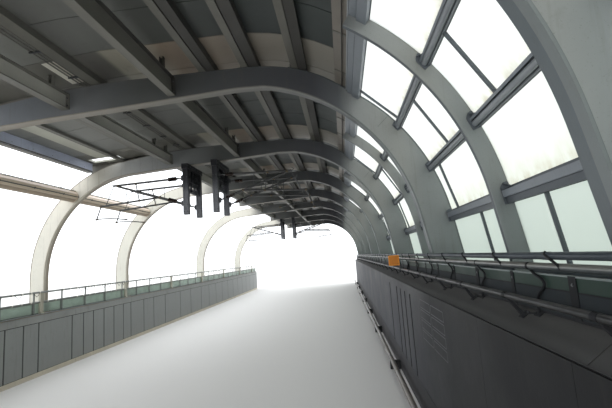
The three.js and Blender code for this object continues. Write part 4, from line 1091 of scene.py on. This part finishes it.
s = Shape()
core = [(-4.6935, 0), (-5.13, 0), (-5.13, 1.22), (-5.545, 1.425), (-5.545, 1.614), (-4.6935, 1.614)]
s.prism_y(core, Y0, Y1, 1)
L_JOINTS = [-17.6, -16.4, -15.3, -14.2, -13.0, -11.9, -10.75, -9.6, -8.82, -8.26, -7.755, -6.458, -5.936, -5.444, -4.882, -4.3, -3.698, -3.184, -2.2, -1.36, -0.271,
            1.4, 2.75, 4.3, 5.6, 6.9, 8.2, 9.5, 10.8, 12.1, 13.4, 14.7, 16.0, 17.3]
cuts = [Y0] + L_JOINTS + [Y1]
for a, b in zip(cuts, cuts[1:]):
    s.box(-4.6945, -4.68, a + (0.02 if a != Y0 else 0), b - (0.02 if b != Y1 else 0), 0.13, 1.385, 0)
for i in range(n):
    a, b = Y0 + (Y1 - Y0) * i / n, Y0 + (Y1 - Y0) * (i + 1) / n
    e0, e1 = (0.004 if i else 0), (0.004 if i < n - 1 else 0)
    s.box(-4.6945, -4.68, a + e0, b - e1, 0.0, 0.118, 4)
    s.prism_y([(-4.68, 1.402), (-4.6945, 1.402), (-4.6945, 1.612), (-5.55, 1.612), (-5.55, 1.62), (-4.69, 1.62), (-4.68, 1.612)], a + e0, b - e1, 2)
    s.box(-4.6815, -4.68 + 0.0, a + e0, b - e1, 1.586, 1.606, 3)
    s.prism_y([(-5.13, 1.21), (-5.55, 1.415), (-5.55, 1.611), (-5.52, 1.611), (-5.52, 1.43), (-5.13, 1.24)], a + e0, b - e1, 2)
    s.box(-5.142, -5.128, a + 0.01, b - 0.01, 0.06, 1.16, 0)
for i in range(2 * n):
    yy = Y0 + (Y1 - Y0) * (i + 0.5) / (2 * n)
    s.box(-5.165, -5.14, yy - 0.09, yy + 0.09, 0.0, 1.2, 0)
make("left_parapet_panels", s, [M_WALL_L, M_WALL_L_CORE, M_BAND_L, M_TRIM_BROWN, M_KERB], "left_parapet", bevel=0.003)

# ------------------------------------------------------------------ screens
s = Shape()
DIV = [-15.42 + 0.79 * i for i in range(-4, 44) if Y0 + 0.05 < -15.42 + 0.79 * i < Y1 - 0.05]
edges = [Y0] + DIV + [Y1]
for i, (a, b) in enumerate(zip(edges, edges[1:])):
    s.box(4.855, 4.863, a + 0.012, b - 0.012, coping_z(4.855) + 0.003, 2.345, 1)
    s.box(4.856, 4.862, a + 0.012, b - 0.012, 2.35, 2.432, 0)
s.box(4.853, 4.865, Y0, Y1, 2.343, 2.352, 2)
s.box(4.852, 4.866, Y0, Y1, 2.43, 2.44, 4)
s.box(4.851, 4.867, Y0, Y1, coping_z(4.86) + 0.001, coping_z(4.86) + 0.014, 2)
for i, yy in enumerate(edges):
    hw = 0.037 if i % 2 == 1 else 0.025
    s.box(4.8502, 4.868, max(Y0, yy - hw), min(Y1, yy + hw), coping_z(4.86) + 0.001, 2.4395, 2)
    for z in (2.24, 2.39):
        s.bolt((4.8502, min(max(yy, Y0 + 0.012), Y1 - 0.012), z), (-1, 0, 0), 0.007, 0.0035, 3)
make("right_screen_panels", s, [M_GREEN, M_SCREEN_LOW, M_STRAP, M_BOLT, M_SCREEN_EDGE], "right_screen")

s = Shape()
edges = [Y0 + 0.01] + [q for q in POSTS] + [Y1 - 0.01]
for a, b in zip(edges, edges[1:]):
    s.box(-4.798, -4.79, a + 0.012, b - 0.012, 1.64, 1.885, 0)
s.box(-4.803, -4.786, Y0, Y1, 1.621, 1.641, 1)
s.box(-4.803, -4.786, Y0, Y1, 1.885, 1.905, 1)
for yy in edges:
    s.box(-4.805, -4.785, max(Y0, yy - 0.014), min(Y1, yy + 0.014), 1.621, 1.905, 1)
make("left_screen_panels", s, [M_TEAL, M_RAIL_L], "left_screen")

# ------------------------------------------------------------------ handrails
s = Shape()
s.tube((4.757, Y0, 2.27), (4.757, Y1, 2.27), 0.024, 20, 0)
for y in POSTS[:-1]:
    # collar on the tube, tapered strap that leans back to a foot on the coping, thin bar on along the slope
    yc = y + 0.515
    s.lathe((4.757, yc - 0.026, 2.27), (4.757, yc + 1, 2.27), [(0, 0.0262), (0.052, 0.0262)], 20, 1)
    rings = []
    for t in np.linspace(0, 1, 9):
        x = 4.757 + 0.047 * t
        yy = yc - 0.138 * t ** 1.15
        z = 2.262 + (coping_z(4.804) + 0.004 - 2.262) * t
        w, h = 0.019 - 0.004 * math.sin(t * math.pi) + 0.006 * t, 0.011
        rings.append([(x - 0.6 * h, yy - w, z - 0.8 * h), (x - 0.6 * h, yy + w, z - 0.8 * h), (x + 0.6 * h, yy + w, z + 0.8 * h), (x + 0.6 * h, yy - w, z + 0.8 * h)])
    s.rings(rings, 1)
    s.prism_y([(4.782, coping_z(4.782) + 0.001), (4.832, coping_z(4.832) + 0.001), (4.832, coping_z(4.832) + 0.008), (4.782, coping_z(4.782) + 0.008)], yc - 0.182, yc - 0.11, 1)
    s.pipe([(4.815, yc - 0.16, coping_z(4.815) + 0.006), (4.845, yc - 0.3, coping_z(4.845) + 0.006), (4.877, yc - 0.46, coping_z(4.877) + 0.006)], 0.005, 8, 1)
    for dy in (-0.172, -0.12):
        s.bolt((4.824, yc + dy, coping_z(4.824) + 0.008), (-0.6, 0, 0.8), 0.006, 0.006, 2)
for i in range(1, 7):
    yy = Y0 + i * 5.4
    s.lathe((4.757, yy - 0.03, 2.27), (4.757, yy + 1, 2.27), [(0, 0.0255), (0.06, 0.0255)], 20, 0)
make("right_lower_rail_tube", s, [M_RAIL_LOW, M_STRAP, M_BOLT], "right_lower_rail")

s = Shape()
s.tube((4.836, Y0, 2.555), (4.836, Y1, 2.555), 0.024, 20, 0)
s.tube((4.838, Y0, 2.486), (4.838, Y1, 2.486), 0.0255, 20, 2)
for y in POSTS:
    # slim curved bracket from under the lower tube to a foot on the coping
    yy = y + 0.256
    s.lathe((4.838, yy - 0.014, 2.486), (4.838, yy + 1, 2.486), [(0, 0.0265), (0.028, 0.0265)], 18, 1)
    line = smooth_line([(yy, 2.462), (yy - 0.05, 2.432), (yy - 0.12, 2.411), (yy - 0.158, 2.382), (yy - 0.14, 2.35), (yy - 0.08, 2.311), (yy - 0.045, 2.26), (yy - 0.035, coping_z(4.84) + 0.004)], 4)
    s.pipe([(4.84, q[0], q[1]) for q in line], 0.009, 8, 1)
    s.prism_y([(4.822, coping_z(4.822) + 0.001), (4.849, coping_z(4.849) + 0.001), (4.849, coping_z(4.849) + 0.009), (4.822, coping_z(4.822) + 0.009)], yy - 0.075, yy + 0.005, 1)
for i in range(-4, 41):
    # oblique hooks that hold the two tubes together
    yy = -15.233 + 0.84 * i
    if not (Y0 + 0.16 < yy < Y1 - 0.02):
        continue
    s.lathe((4.836, yy - 0.012, 2.555), (4.836, yy + 1, 2.555), [(0, 0.0252), (0.024, 0.0252)], 18, 0)
    s.pipe([(4.826, yy + 0.006, 2.583), (4.815, yy, 2.568), (4.811, yy - 0.035, 2.552), (4.811, yy - 0.1, 2.522), (4.812, yy - 0.14, 2.504), (4.818, yy - 0.15, 2.476)],
           [0.006, 0.008, 0.009, 0.009, 0.008, 0.006], 8, 1)
for yy in (-15.22, -9.2, -3.2, 2.8, 8.8, 14.8):
    s.lathe((4.836, yy - 0.045, 2.555), (4.836, yy + 1, 2.555), [(0, 0.0258), (0.09, 0.0258)], 20, 0)
make("right_upper_rail_tubes", s, [M_RAIL, M_STRAP, M_RAIL_LIT_TOP, M_BOLT], "right_upper_rail")

s = Shape()
s.tube((-4.745, Y0, 2.19), (-4.745, Y1, 2.19), 0.027, 18, 0)
s.tube((-4.745, Y0, 1.93), (-4.745, Y1, 1.93), 0.022, 16, 0)
rnd = random.Random(5)
for y in POSTS:
    s.box(-4.753, -4.737, y - 0.025, y + 0.025, 1.6205, 2.17, 0)
    s.box(-4.79, -4.71, y - 0.045, y + 0.045, 1.6205, 1.632, 0)
    for z, r in ((2.19, 0.03), (1.93, 0.025)):
        s.lathe((-4.745, y - 0.02, z), (-4.745, y + 1, z), [(0, r), (0.04, r)], 16, 0)
    for dy in (-0.03, 0.03):
        s.bolt((-4.725, y + dy, 1.632), (0, 0, 1), 0.007, 0.007, 3)
# clips along both rails
yy = Y0 + 0.1
while yy < Y1 - 0.1:
    for z, r in ((2.19, 0.033), (1.93, 0.028)):
        if rnd.random() < 0.75:
            w = rnd.uniform(0.02, 0.05)
            s.lathe((-4.745, yy, z), (-4.745, yy + 1, z), [(0, r), (w, r)], 10, 1)
    if rnd.random() < 0.5:
        s.pipe([(-4.725, yy + 0.1, 2.17), (-4.718, yy + 0.14, 2.12), (-4.72, yy + 0.2, 2.08), (-4.728, yy + 0.26, 2.12), (-4.73, yy + 0.3, 2.17)], 0.006, 6, 3)
    yy += 0.3
# stout posts beside some of the legs
for y in (-16.02, -11.82, -7.62, -3.43, 0.55, 4.66, 8.88, 13.08, 17.28):
    s.box(-4.775, -4.715, y - 0.055, y + 0.055, 1.6205, 2.165, 2)
    s.box(-4.7147, -4.69, y - 0.055, y + 0.055, 1.6205, 1.66, 2)
make("left_railing_tubes", s, [M_RAIL_L, M_CLIP, M_POST_L, M_STRAP], "left_railing")

# ------------------------------------------------------------------ blank plate
s = Shape()


def rounded_rect(x0, x1, z0, z1, r, n=6):
    out = []
    for cx, cz, a in ((x1 - r, z1 - r, 0), (x0 + r, z1 - r, 90), (x0 + r, z0 + r, 180), (x1 - r, z0 + r, 270)):
        out += [(cx + r * math.cos(math.radians(a + 90 * i / n)), cz + r * math.sin(math.radians(a + 90 * i / n))) for i in range(n + 1)]
    return out


PY = -9.55
s.prism_y(rounded_rect(4.505, 4.722, 2.35, 2.56, 0.02), PY - 0.002, PY + 0.002, 0)
outer, inner = rounded_rect(4.505, 4.722, 2.35, 2.56, 0.02), rounded_rect(4.522, 4.705, 2.367, 2.543, 0.012)
for yy0, yy1 in ((PY - 0.0055, PY - 0.002), (PY + 0.002, PY + 0.0055)):
    rings = [[(x, yy0, z) for x, z in outer], [(x, yy1, z) for x, z in outer], [(x, yy1, z) for x, z in inner], [(x, yy0, z) for x, z in inner]]
    s.rings(rings, 1, closed=True)
for x in (4.535, 4.692):
    for z in (2.38, 2.53):
        s.lathe((x, PY - 0.002, z), (x, PY - 1, z), [(0, 0.006), (0.002, 0.005), (0.003, 0.002)], 10, 2)
s.box(4.703, 4.731, PY - 0.0045, PY + 0.0045, 2.283, 2.36, 2)
s.lathe((4.757, PY - 0.012, 2.27), (4.757, PY + 1, 2.27), [(0, 0.028), (0.024, 0.028)], 18, 2)
s.box(4.7035, 4.74, PY - 0.005, PY + 0.005, 2.262, 2.288, 2)
make("blank_plate_sheet", s, [M_ORANGE_FACE, M_ORANGE, M_BOLT], "blank_plate")

# ------------------------------------------------------------------ pipe at the wall foot
s = Shape()
s.tube((4.48, Y0, 0.25), (4.48, Y1, 0.25), 0.05, 24, 0)
for i in range(1, 18):
    yy = Y0 + i * 2.1 + 1.05
    if yy < Y1 - 0.1:
        s.lathe((4.48, yy - 0.04, 0.25), (4.48, yy + 1, 0.25), [(0, 0.051), (0.004, 0.056), (0.076, 0.056), (0.08, 0.051)], 24, 0)
for k in range(9):
    y = Y0 + 2.1 + k * PITCH
    s.box(4.45, 4.6796, y - 0.04, y + 0.04, 0.0, 0.19, 1)
    s.prism_y([(4.45, 0.19), (4.45, 0.215), (4.458, 0.215), (4.47, 0.203), (4.48, 0.2), (4.492, 0.203), (4.502, 0.215), (4.53, 0.215), (4.55, 0.19)], y - 0.038, y + 0.038, 1)
    ring = []
    for a in np.linspace(-35, 215, 18):
        c, q = math.cos(math.radians(a)), math.sin(math.radians(a))
        ring.append([(4.48 + 0.0505 * c, y - 0.015, 0.25 + 0.0505 * q), (4.48 + 0.0505 * c, y + 0.015, 0.25 + 0.0505 * q),
                     (4.48 + 0.054 * c, y + 0.015, 0.25 + 0.054 * q), (4.48 + 0.054 * c, y - 0.015, 0.25 + 0.054 * q)])
    s.rings(ring, 2)
make("wall_foot_pipe_run", s, [M_PIPE, M_WALL_L_CORE, M_BOLT], "wall_foot_pipe")

# ------------------------------------------------------------------ drop frames
DROP_X, DROP_DY, DROP_TOP = (-0.54, 0.29), (-0.3, 0.65), (5.413, 5.456)
SIDE = (-1, 1)
ARM_OFF, ARM_TOP, ARM_LOW = 0.115, 5.03, 4.33
for st, k in enumerate((2, 6)):
    for col, x in enumerate(DROP_X):
        s = Shape()
        yr, sg = RIB_Y[k], SIDE[col]
        ya, yb = yr + DROP_DY[0], yr + DROP_DY[1]
        top = DROP_TOP[col]
        # head beam: two channels with a plate over and under
        s.box(x - 0.085, x + 0.085, ya - 0.105, yb + 0.105, top - 0.016, top, 0)
        s.box(x - 0.085, x + 0.085, ya - 0.105, yb + 0.105, 5.28, 5.294, 0)
        for sx in (-1, 1):
            s.box(*sorted((x + sx * 0.083, x + sx * 0.073)), ya - 0.103, yb + 0.103, 5.294, top - 0.016, 0)
        for yy in np.linspace(ya - 0.07, yb + 0.07, 7):
            s.box(x - 0.072, x + 0.072, yy - 0.005, yy + 0.005, 5.294, top - 0.016, 0)
            for sx in (-1, 1):
                s.bolt((x + sx * 0.083, yy, 5.35), (sx, 0, 0), 0.011, 0.011, 1)
        # posts: box section with battens, cap plates and bolts
        for yy in (ya, yb):
            for sx in (-1, 1):
                s.prism_z([(x + sx * 0.07, yy - 0.07), (x + sx * 0.07, yy + 0.07), (x + sx * 0.032, yy + 0.07), (x + sx * 0.032, yy + 0.061),
                           (x + sx * 0.061, yy + 0.061), (x + sx * 0.061, yy - 0.061), (x + sx * 0.032, yy - 0.061), (x + sx * 0.032, yy - 0.07)], 4.012, 5.3, 0)
            s.box(x - 0.03, x + 0.03, yy - 0.055, yy + 0.055, 4.03, 5.3, 0)
            s.box(x - 0.07, x + 0.07, yy - 0.07, yy + 0.07, 4.01, 4.024, 0)
            for z in np.arange(4.09, 5.2, 0.19):
                for sy in (-1, 1):
                    s.box(x - 0.066, x + 0.066, *sorted((yy + sy * 0.069, yy + sy * 0.074)), z - 0.035, z + 0.035, 0)
                    for dx in (-0.045, 0.045):
                        s.bolt((x + dx, yy + sy * 0.074, z), (0, sy, 0), 0.009, 0.009, 1)
            # lugs for the arms' eyes, with the pin heads
            for z in (ARM_TOP, ARM_LOW):
                for lug in (-0.06, 0.048):
                    a, b = x + sg * 0.065, x + sg * (ARM_OFF + 0.004)
                    outline = [(a, yy - 0.035), (b, yy - 0.035)]
                    outline += [(b + sg * 0.031 * math.sin(math.radians(t)), yy - 0.035 * math.cos(math.radians(t))) for t in range(15, 180, 15)]
                    outline += [(b, yy + 0.035), (a, yy + 0.035)]
                    s.prism_z(outline, z + lug, z + lug + 0.012, 0)
                s.lathe((x + sg * ARM_OFF, yy, z + 0.06), (x + sg * ARM_OFF, yy, z + 1), [(0, 0.02), (0.01, 0.02), (0.014, 0.014)], 12, 1)
                s.lathe((x + sg * ARM_OFF, yy, z - 0.06), (x + sg * ARM_OFF, yy, z - 1), [(0, 0.018), (0.012, 0.018)], 12, 1)
                s.box(*sorted((x + sg * 0.0705, x + sg * 0.08)), yy - 0.05, yy + 0.05, z - 0.09, z + 0.09, 0)
        make(f"drop_frame_{st * 2 + col + 1}_posts", s, [M_POST, M_BOLT], f"drop_frame_{st * 2 + col + 1}")

        # web plate between the posts: six cells with rimmed holes, stiffeners and a junction box
        s = Shape()
        y0, y1, z0, z1 = ya + 0.0704, yb - 0.0704, 4.64, 5.2796
        for i, f in enumerate((0.2, 0.5, 0.8)):
            for j, g in enumerate((0.25, 0.72)):
                cy, cz, r = y0 + (y1 - y0) * f, z0 + (z1 - z0) * g, (0.05 if (i + j) % 2 else 0.06)
                ea, eb = (y0 if i == 0 else y0 + (y1 - y0) * (f - 0.15)), (y1 if i == 2 else y0 + (y1 - y0) * (f + 0.15))
                ec, ed = (z0 if j == 0 else z0 + (z1 - z0) * 0.485), (z1 if j == 1 else z0 + (z1 - z0) * 0.485)
                nn = 24
                corner = [math.atan2(v - cz, u - cy) % (2 * math.pi) for u in (ea, eb) for v in (ec, ed)]
                turns = sorted([2 * math.pi * t / nn for t in range(nn)] + corner)
                outer_r, inner_r = [], []
                for t in turns:
                    dy, dz = math.cos(t), math.sin(t)
                    ky = ((eb - cy) / dy if dy > 1e-6 else (ea - cy) / dy if dy < -1e-6 else 9)
                    kz = ((ed - cz) / dz if dz > 1e-6 else (ec - cz) / dz if dz < -1e-6 else 9)
                    kk = min(ky, kz)
                    outer_r.append((cy + dy * kk, cz + dz * kk))
                    inner_r.append((cy + dy * r, cz + dz * r))
                s.rings([[(x - 0.006, p, q) for p, q in outer_r], [(x + 0.006, p, q) for p, q in outer_r],
                         [(x + 0.006, p, q) for p, q in inner_r], [(x - 0.006, p, q) for p, q in inner_r]], 0, closed=True)
                rim = [[(x + dx, cy + math.cos(2 * math.pi * t / nn) * rr, cz + math.sin(2 * math.pi * t / nn) * rr) for t in range(nn)]
                       for dx, rr in ((-0.011, r + 0.008), (0.011, r + 0.008), (0.011, r - 0.0005), (-0.011, r - 0.0005))]
                s.rings(rim, 0, closed=True)
        for f in (0.35, 0.65):
            yy = y0 + (y1 - y0) * f
            s.box(x - 0.03, x + 0.03, yy - 0.006, yy + 0.006, z0 + 0.012, z1 - 0.012, 0)
        for yy, e in ((y0, 1), (y1, -1)):
            s.box(x - 0.03, x + 0.03, *sorted((yy, yy + e * 0.01)), z0, z1, 0)
            for z in (4.72, 4.86, 5.05, 5.2):
                for dx in (-0.018, 0.018):
                    s.bolt((x + dx, yy + e * 0.01, z), (0, e, 0), 0.006, 0.006, 1)
        for z in (z0 + 0.006, 4.95, z1 - 0.006):
            s.box(x - 0.034, x + 0.034, y0 + 0.01, y1 - 0.01, z - 0.006, z + 0.006, 0)
        s.box(*sorted((x + sg * 0.006, x + sg * 0.066)), yr + 0.11, yr + 0.24, 4.985, 5.19, 0)
        s.box(*sorted((x + sg * 0.066, x + sg * 0.07)), yr + 0.104, yr + 0.246, 4.979, 5.196, 0)
        for off in (0.0, 0.02, 0.04):
            s.pipe([(x + sg * 0.03, yr + 0.15 + off, 4.99), (x + sg * 0.036, yr + 0.15 + off, 4.92), (x + sg * 0.036, yr + 0.1 + off, 4.82), (x + sg * 0.03, yr - 0.04 + off, 4.72), (x + sg * 0.02, yr - 0.12 + off, 4.66)], 0.008, 6, 1)
        make(f"drop_web_{st * 2 + col + 1}_plate", s, [M_POST, M_BOLT], f"drop_web_{st * 2 + col + 1}")

# ------------------------------------------------------------------ swivelling arms
def arm_shape(px, y, sg):
    s = Shape()
    P = lambda d, z, dy=0.0: (px + sg * d, y + dy, z)
    for z in (ARM_TOP, ARM_LOW):
        s.lathe((px, y, z - 0.042), (px, y, z + 1), [(0, 0.026), (0.004, 0.03), (0.08, 0.03), (0.084, 0.026)], 20, 1)
    s.tube(P(0.02, 5.03), P(0.125, 5.0262), 0.02, 12, 0)
    s.tube(P(0.02, 4.3374), P(0.135, 4.379), 0.02, 12, 0)
    s.tube(P(0.42, 5.018), P(1.98, 4.975), 0.029, 14, 0)
    s.tube(P(0.42, 4.4712), P(1.85, 4.95), 0.029, 14, 0)
    s.tube(P(0.64, 4.545), P(2.38, 4.42), 0.026, 14, 0)
    s.tube(P(1.23, 4.495), P(1.33, 4.99), 0.015, 10, 0)
    s.tube(P(2.34, 4.43), P(2.48, 4.045), 0.016, 12, 0)
    # steady arm with a gentle bend
    s.pipe([P(2.47, 4.075), P(2.35, 4.078), P(2.1, 4.07), P(1.85, 4.045), P(1.62, 4.01)], 0.016, 10, 0)
    # ribbed insulators with end fittings
    for d0, z0, d1, z1 in ((0.12, 5.026, 0.43, 5.018), (0.13, 4.374, 0.43, 4.474)):
        a, b = Vector(P(d0, z0)), Vector(P(d1, z1))
        length = (b - a).length
        prof = [(0, 0.024), (0.03, 0.024), (0.032, 0.02)]
        n = 8
        for i in range(n):
            t0 = 0.036 + (length - 0.072) * i / n
            st_ = (length - 0.072) / n
            prof += [(t0, 0.024), (t0 + st_ * 0.42, 0.058), (t0 + st_ * 0.56, 0.06), (t0 + st_ * 0.7, 0.03)]
        prof += [(length - 0.034, 0.02), (length - 0.03, 0.024), (length, 0.024)]
        s.lathe(a, b, prof, 20, 2)
        for t0, t1 in ((0, 0.034), (length - 0.034, length)):
            s.lathe(a + (b - a).normalized() * t0, b, [(0, 0.027), (t1 - t0, 0.027)], 16, 1)
    # clamps where the tubes meet
    for d, z, r in ((0.64, 4.548, 0.034), (1.33, 4.985, 0.032), (1.23, 4.5, 0.03), (1.85, 4.965, 0.04), (2.34, 4.425, 0.032), (2.47, 4.07, 0.026), (1.62, 4.01, 0.022)):
        s.lathe(P(d - 0.03, z), P(d + 1, z), [(0, r * 0.8), (0.006, r), (0.054, r), (0.06, r * 0.8)], 14, 3)
        s.bolt(P(d, z, r * 0.8), (0, 1, 0), 0.008, 0.012, 1)
        s.bolt(P(d, z, -r * 0.8), (0, -1, 0), 0.008, 0.012, 1)
    # wire clamp and hook at the outer end of the top tube and steady arm
    s.pipe([P(1.98, 4.975), P(2.02, 4.99), P(2.035, 5.02), P(2.02, 5.045), P(1.99, 5.05)], 0.01, 8, 1)
    s.pipe([P(1.62, 4.01), P(1.6, 3.995), P(1.575, 3.995), P(1.56, 4.012)], 0.008, 8, 1)
    # droppers and stays
    s.tube(P(0.95, 4.64), P(0.95, 5.003), 0.009, 8, 1)
    s.tube(P(1.62, 4.872), P(1.58, 4.48), 0.009, 8, 1)
    s.tube(P(2.2, 4.433), P(1.98, 4.955), 0.009, 8, 1)
    return s


n = 0
for st, k in enumerate((2, 6)):
    for col, x in enumerate(DROP_X):
        for dy in DROP_DY:
            n += 1
            y = RIB_Y[k] + dy
            s = arm_shape(x + SIDE[col] * ARM_OFF, y, SIDE[col])
            make(f"swivel_arm_{n}_tubes", s, [M_ARM, M_BOLT, M_INS, M_COPPER], f"swivel_arm_{n}", body=f"arm_{n}")

# ------------------------------------------------------------------ floor and light
me = bpy.data.meshes.new("floor")
S = 160.0
me.from_pydata([(-S, -S, -0.002), (S, -S, -0.002), (S, S, -0.002), (-S, S, -0.002)], [], [(0, 1, 2, 3)])
floor = bpy.data.objects.new("floor", me)
bpy.context.scene.collection.objects.link(floor)
fm = bpy.data.materials.new("floor")
fm.use_nodes = True
fm.node_tree.nodes["Principled BSDF"].inputs["Base Color"].default_value = (0.78, 0.77, 0.75, 1)
fm.node_tree.nodes["Principled BSDF"].inputs["Roughness"].default_value = 0.9
me.materials.append(fm)
floor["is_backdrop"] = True

world = bpy.data.worlds.new("world")
bpy.context.scene.world = world
world.use_nodes = True
bg = world.node_tree.nodes["Background"]
bg.inputs["Color"].default_value = (0.94, 0.97, 1.0, 1)
bg.inputs["Strength"].default_value = 2.1
bpy.context.scene.view_settings.view_transform = "Standard"

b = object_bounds()
{"cad": [list(CAD_BOX[0]), list(CAD_BOX[1])], "visual": [list(b[0]), list(b[1])]}
